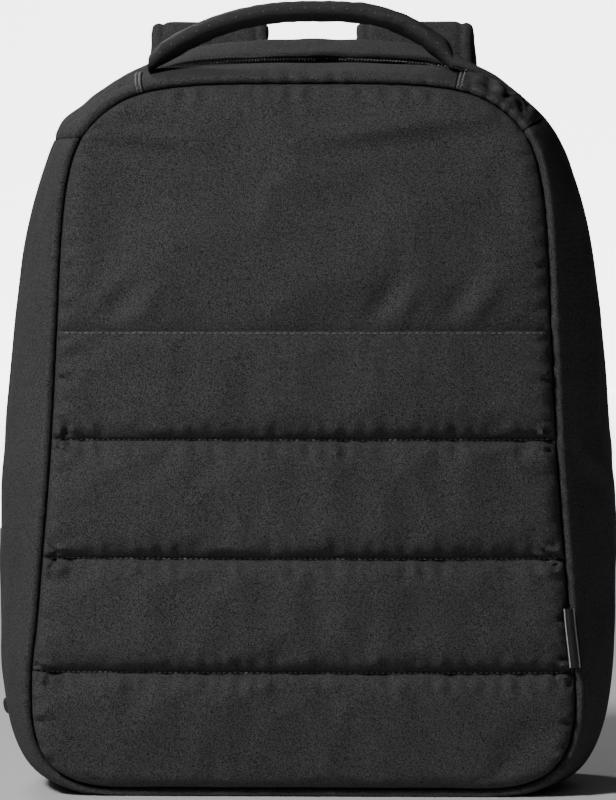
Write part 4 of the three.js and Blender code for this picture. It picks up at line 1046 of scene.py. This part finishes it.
top_bar = ADJUSTER["lead"] + ADJUSTER["bar"] / 2
low_bar = ADJUSTER["lead"] + ADJUSTER["height"] - ADJUSTER["bar"] / 2
loop_radius = math.hypot(ADJUSTER["bar"], ADJUSTER["thick"]) / 2 + SEAT + WEB_THICK / 2


def bar_turn(bar, turn, count=13):
    return [below(bar + turn * loop_radius * math.cos(a), loop_radius * math.sin(a))
            for a in np.linspace(-math.pi / 2, math.pi / 2, count)]


def resampled(points, sides, widths, step=2.0):
    points, sides, widths = np.array(points), np.array(sides), np.array(widths)
    run = np.concatenate([[0], np.cumsum(np.linalg.norm(np.diff(points, axis=0), axis=1))])
    at = np.linspace(0, run[-1], max(4, int(run[-1] / step)))
    pick = [np.stack([np.interp(at, run, v[:, k]) for k in range(3)], -1) for v in (points, sides)]
    return pick[0], unit(pick[1]), np.interp(at, run, widths)


def band_rings(points, sides, widths, thick, count=20):
    at, side, width = resampled(points, sides, widths)
    along_way = unit(np.gradient(at, axis=0))
    face_way = unit(np.cross(along_way, side))
    rings = []
    for i in range(len(at)):
        a, u = rounded(width[i], thick, 0.25, count, 0.8)
        rings.append(at[i] + side[i] * a[:, None] + face_way[i] * u[:, None])
    return np.array(rings)


spread = loop_radius / 2
loop_path = [below(SEAT, -spread), *bar_turn(top_bar, 1), below(SEAT, spread)]
edge_station = float(station_at_height(TAB["height"]))
edge_x, edge_z = (float(v) for v in outline_point(edge_station, back_edge(np.array(edge_station))))
root = np.array([edge_x - TAB["inset"], back_face + SEAT + TAB["thick"] / 2, edge_z])
aim = below(low_bar, 0)
tip = lerp(root, aim, TAB["length"] / np.linalg.norm(aim - root))
shares = np.linspace(0, 1, 9)
tab_at = [lerp(root, tip, q) for q in shares]
tab_side = [unit(lerp(np.array([0, 0, 1.0]), end_w, q)) for q in shares]
tab_width = [lerp(TAB["base"], WEB_WIDTH + 2 * TAB["margin"], q) for q in shares]
tab_face = unit(np.cross(unit(tip - root), tab_side[6]))
tab_face = tab_face if tab_face[1] > 0 else -tab_face
lift = (TAB["thick"] + WEB_THICK) / 2 + SEAT
lap = [tab_at[i] + tab_face * lift for i in (4, 6, 8)]
fall = [below(low_bar + q * ADJUSTER["tail"], loop_radius + ADJUSTER["fall"] * q) for q in (0.3, 0.65, 1)]
low_path = [*lap, below(low_bar + 8, -loop_radius), *bar_turn(low_bar, -1), *fall]
low_side = [tab_side[4], tab_side[6], tab_side[8]] + [end_w] * (len(low_path) - 3)


def adjuster_rings(side_x):
    """The adjuster's outer loop and its middle bar as closed round-edged tubes."""
    half = WEB_WIDTH / 2 + ADJUSTER["margin"] + ADJUSTER["side"] / 2
    low, high = top_bar, low_bar
    corners = [(-half, low), (half, low), (half, high), (-half, high)]
    path = []
    for i, (a, b) in enumerate(corners):
        previous, following = np.array(corners[i - 1]), np.array(corners[(i + 1) % 4])
        corner = np.array([a, b])
        for t in np.linspace(0, 1, 6):
            p = corner + unit(previous - corner) * 2.2 * (1 - t) ** 2 + unit(following - corner) * 2.2 * t**2
            path.append(p)
    path = np.array(path)
    points = []
    for i, p in enumerate(path):
        way = unit(path[(i + 1) % len(path)] - path[i - 1])
        square = np.array([way[1], -way[0]])
        a, u = rounded(ADJUSTER["bar"] * 0.98, ADJUSTER["thick"], 0.6, 14, 0.6)
        points.append([origin + end_w * (p[0] + square[0] * q) + end_u * (p[1] + square[1] * q) + end_v * v
                       for q, v in zip(a, u)])
    bar = []
    mid = (low + high) / 2
    for w in np.linspace(-half, half, 8):
        a, u = rounded(ADJUSTER["bar"] * 0.98, ADJUSTER["thick"] * 0.9, 0.6, 14, 0.6)
        bar.append([origin + end_w * w + end_u * (mid + q) + end_v * v for q, v in zip(a, u)])
    flip = np.array([side_x, 1, 1])
    return np.array(points) * flip, np.array(bar) * flip


def ring_loop(name, rings, material):
    rows, count = rings.shape[:2]
    i, j = np.meshgrid(np.arange(rows), np.arange(count), indexing="ij")
    a, b = i * count + j, i * count + (j + 1) % count
    c, d = ((i + 1) % rows) * count + (j + 1) % count, ((i + 1) % rows) * count + j
    faces = np.stack([a, b, c, d], -1).reshape(-1, 4)
    points = rings.reshape(-1, 3)
    return new_object(name, points, turned_out(points, faces)[0], material)


for word, way in (("right", 1.0), ("left", -1.0)):
    flip = np.array([way, 1, 1])
    keep(loft(f"shoulder_strap_{word}_cloth", rings * flip, CLOTH_LOOK), f"shoulder_strap_{word}", fill=0.7)
    runs = []
    for q in (-1, 1):
        line = np.array(edges[q])[4:-3]
        normals = face[4:-3]
        runs.append((line * flip, normals * flip))
    keep(thread(f"strap_stitches_{word}", runs, DARK_THREAD, 2.8, 0.8, 0.3, 0.0))
    loop = band_rings(loop_path, [end_w] * len(loop_path), [WEB_WIDTH] * len(loop_path), WEB_THICK)
    low = band_rings(low_path, low_side, [WEB_WIDTH] * len(low_path), WEB_THICK)
    for part, band in (("strap_webbing", loop), ("lower_webbing", low)):
        piece = keep(loft(f"{part}_{word}_weave", band * flip, WEB_LOOK), f"{part}_{word}", slot="webbing")
    tab = band_rings(tab_at, tab_side, tab_width, TAB["thick"], 28)
    piece = keep(loft(f"anchor_tab_{word}_weave", tab * flip, WEB_LOOK), f"anchor_tab_{word}", slot="webbing")
    outer_loop, bar = adjuster_rings(way)
    piece = ring_loop(f"strap_adjuster_{word}_loop", outer_loop, PLASTIC_LOOK)
    keep(piece, f"strap_adjuster_{word}", slot="plastic")
    keep(loft(f"strap_adjuster_{word}_bar", bar, PLASTIC_LOOK), slot="plastic")

# Loop label, with a pale line near each edge where it faces the front: painted highlights of the glossy satin.
lean = float(station_at_height(LABEL["bottom"] + LABEL["height"] / 2))
outward = float(outline_point(lean, 1.0)[0] - outline_point(lean, 0.0)[0])
COUNT = 48


def label_grid(inset, heights):
    angle = 2 * np.pi * (np.arange(COUNT) + 0.5) / COUNT
    share = (1 - np.cos(angle)) / 2
    base = lerp(LABEL["root"] / 2, 0.1, inset / LABEL["cloth"])
    wide = np.abs(np.sin(angle)) * share**0.8
    half = lerp(base, LABEL["half"] - inset, wide)
    forward = LABEL["forward"] + lerp(inset, LABEL["reach"] - inset, share)
    side = np.sign(np.sin(angle)) * half
    rows = []
    for q in heights:
        z = LABEL["bottom"] + q * LABEL["height"]
        sx = float(seam(station_at_height(z))[0])
        rows.append(np.stack([sx + outward * side, float(seam_depth(z)) - forward, z + 0 * side], -1))
    return np.array(rows).transpose(1, 0, 2)


heights = np.linspace(0, 1, 25)
ribbon = shell("side_label_ribbon", label_grid(0, heights), label_grid(0.7, heights), RIBBON_LOOK, wraps=True)
label = keep(ribbon, "side_label", slot="ribbon")
path_length(label_grid(0, [0.5])[:, 0]) / 1000
outside, inside = label_grid(-0.05, heights), label_grid(0.1, heights)
# Two pale strips on the label's front-facing sides are painted highlights of the satin.
for word, first in (("left", 17), ("right", 28)):
    span = slice(first, first + 3)
    keep(shell(f"label_highlight_{word}", outside[span], inside[span], PAINTED_HIGHLIGHT_LOOK), slot="ribbon")

# Stage, lights and camera.


def flat_look(name, value, rough):
    material, tree, shader = node_tree(name)
    cloudy = noise(tree, object_place(tree), 3, 3.0)
    tint = ramp(tree, cloudy, [(0.3, grey(value * 0.98)), (0.7, grey(value))])
    tree.links.new(tint, shader.inputs["Base Color"])
    shader.inputs["Roughness"].default_value = rough
    return material


def backdrop(name, verts, faces, material):
    mesh = bpy.data.meshes.new(name)
    mesh.from_pydata(verts, [], faces)
    mesh.materials.append(material)
    obj = bpy.data.objects.new(name, mesh)
    bpy.context.scene.collection.objects.link(obj)


# A wide pale floor, and a bright white strip far behind the bag.
backdrop("floor", [(x, y, -0.0006) for x, y in ((-15, -15), (15, -15), (15, 15), (-15, 15))], [(0, 1, 2, 3)],
         flat_look("pale_floor", 0.55, 0.9))
white, tree, shader = node_tree("white_strip")
shader.inputs["Emission Color"].default_value = (1, 1, 1, 1)
shader.inputs["Emission Strength"].default_value = 4.0
backdrop("strip", [(x, y, z) for y, z in ((2.6, 0.0), (9.0, 0.0), (9.3, 1.4)) for x in (-1.6, 1.3)],
         [(0, 1, 3, 2), (2, 3, 5, 4)], white)


def area_light(name, place, target, size, power):
    data = bpy.data.lights.new(name, "AREA")
    data.shape = "RECTANGLE"
    data.size, data.size_y = size
    data.energy = power
    obj = bpy.data.objects.new(name, data)
    obj.location = place
    way = np.array(target, float) - np.array(place, float)
    tip = math.atan2(math.hypot(way[0], way[1]), -way[2])
    obj.rotation_euler = (tip, 0, math.atan2(way[1], way[0]) - math.pi / 2)
    bpy.context.scene.collection.objects.link(obj)


area_light("key", (-1.6, -1.9, 2.3), (0, 0, 0.25), (0.6, 0.6), 132)
area_light("front", (-0.6, -2.8, 0.8), (0, 0, 0.2), (1.0, 1.0), 4)
area_light("behind", (-0.9, 1.9, 1.9), (0, 0, 0.35), (0.6, 0.6), 24)

world = bpy.data.worlds.new("soft")
world.use_nodes = True
world.node_tree.nodes["Background"].inputs["Color"].default_value = (1, 1, 1, 1)
world.node_tree.nodes["Background"].inputs["Strength"].default_value = 0.015
bpy.context.scene.world = world

AZIMUTH, ELEVATION, DISTANCE = math.radians(2), math.radians(1.5), 2.6
target = np.array([0.0, 0.0, 0.2088])
offset = DISTANCE * np.array([math.sin(AZIMUTH) * math.cos(ELEVATION),
                              -math.cos(AZIMUTH) * math.cos(ELEVATION), math.sin(ELEVATION)])
camera_data = bpy.data.cameras.new("camera")
camera_data.sensor_fit = "HORIZONTAL"
camera_data.sensor_width = 36
camera_data.lens = 36 * DISTANCE / (616 * 0.000549)
camera = bpy.data.objects.new("camera", camera_data)
camera.location = tuple(target + offset)
camera.rotation_euler = (math.pi / 2 - ELEVATION, 0, AZIMUTH)
bpy.context.scene.collection.objects.link(camera)
bpy.context.scene.camera = camera

bpy.context.view_layer.update()
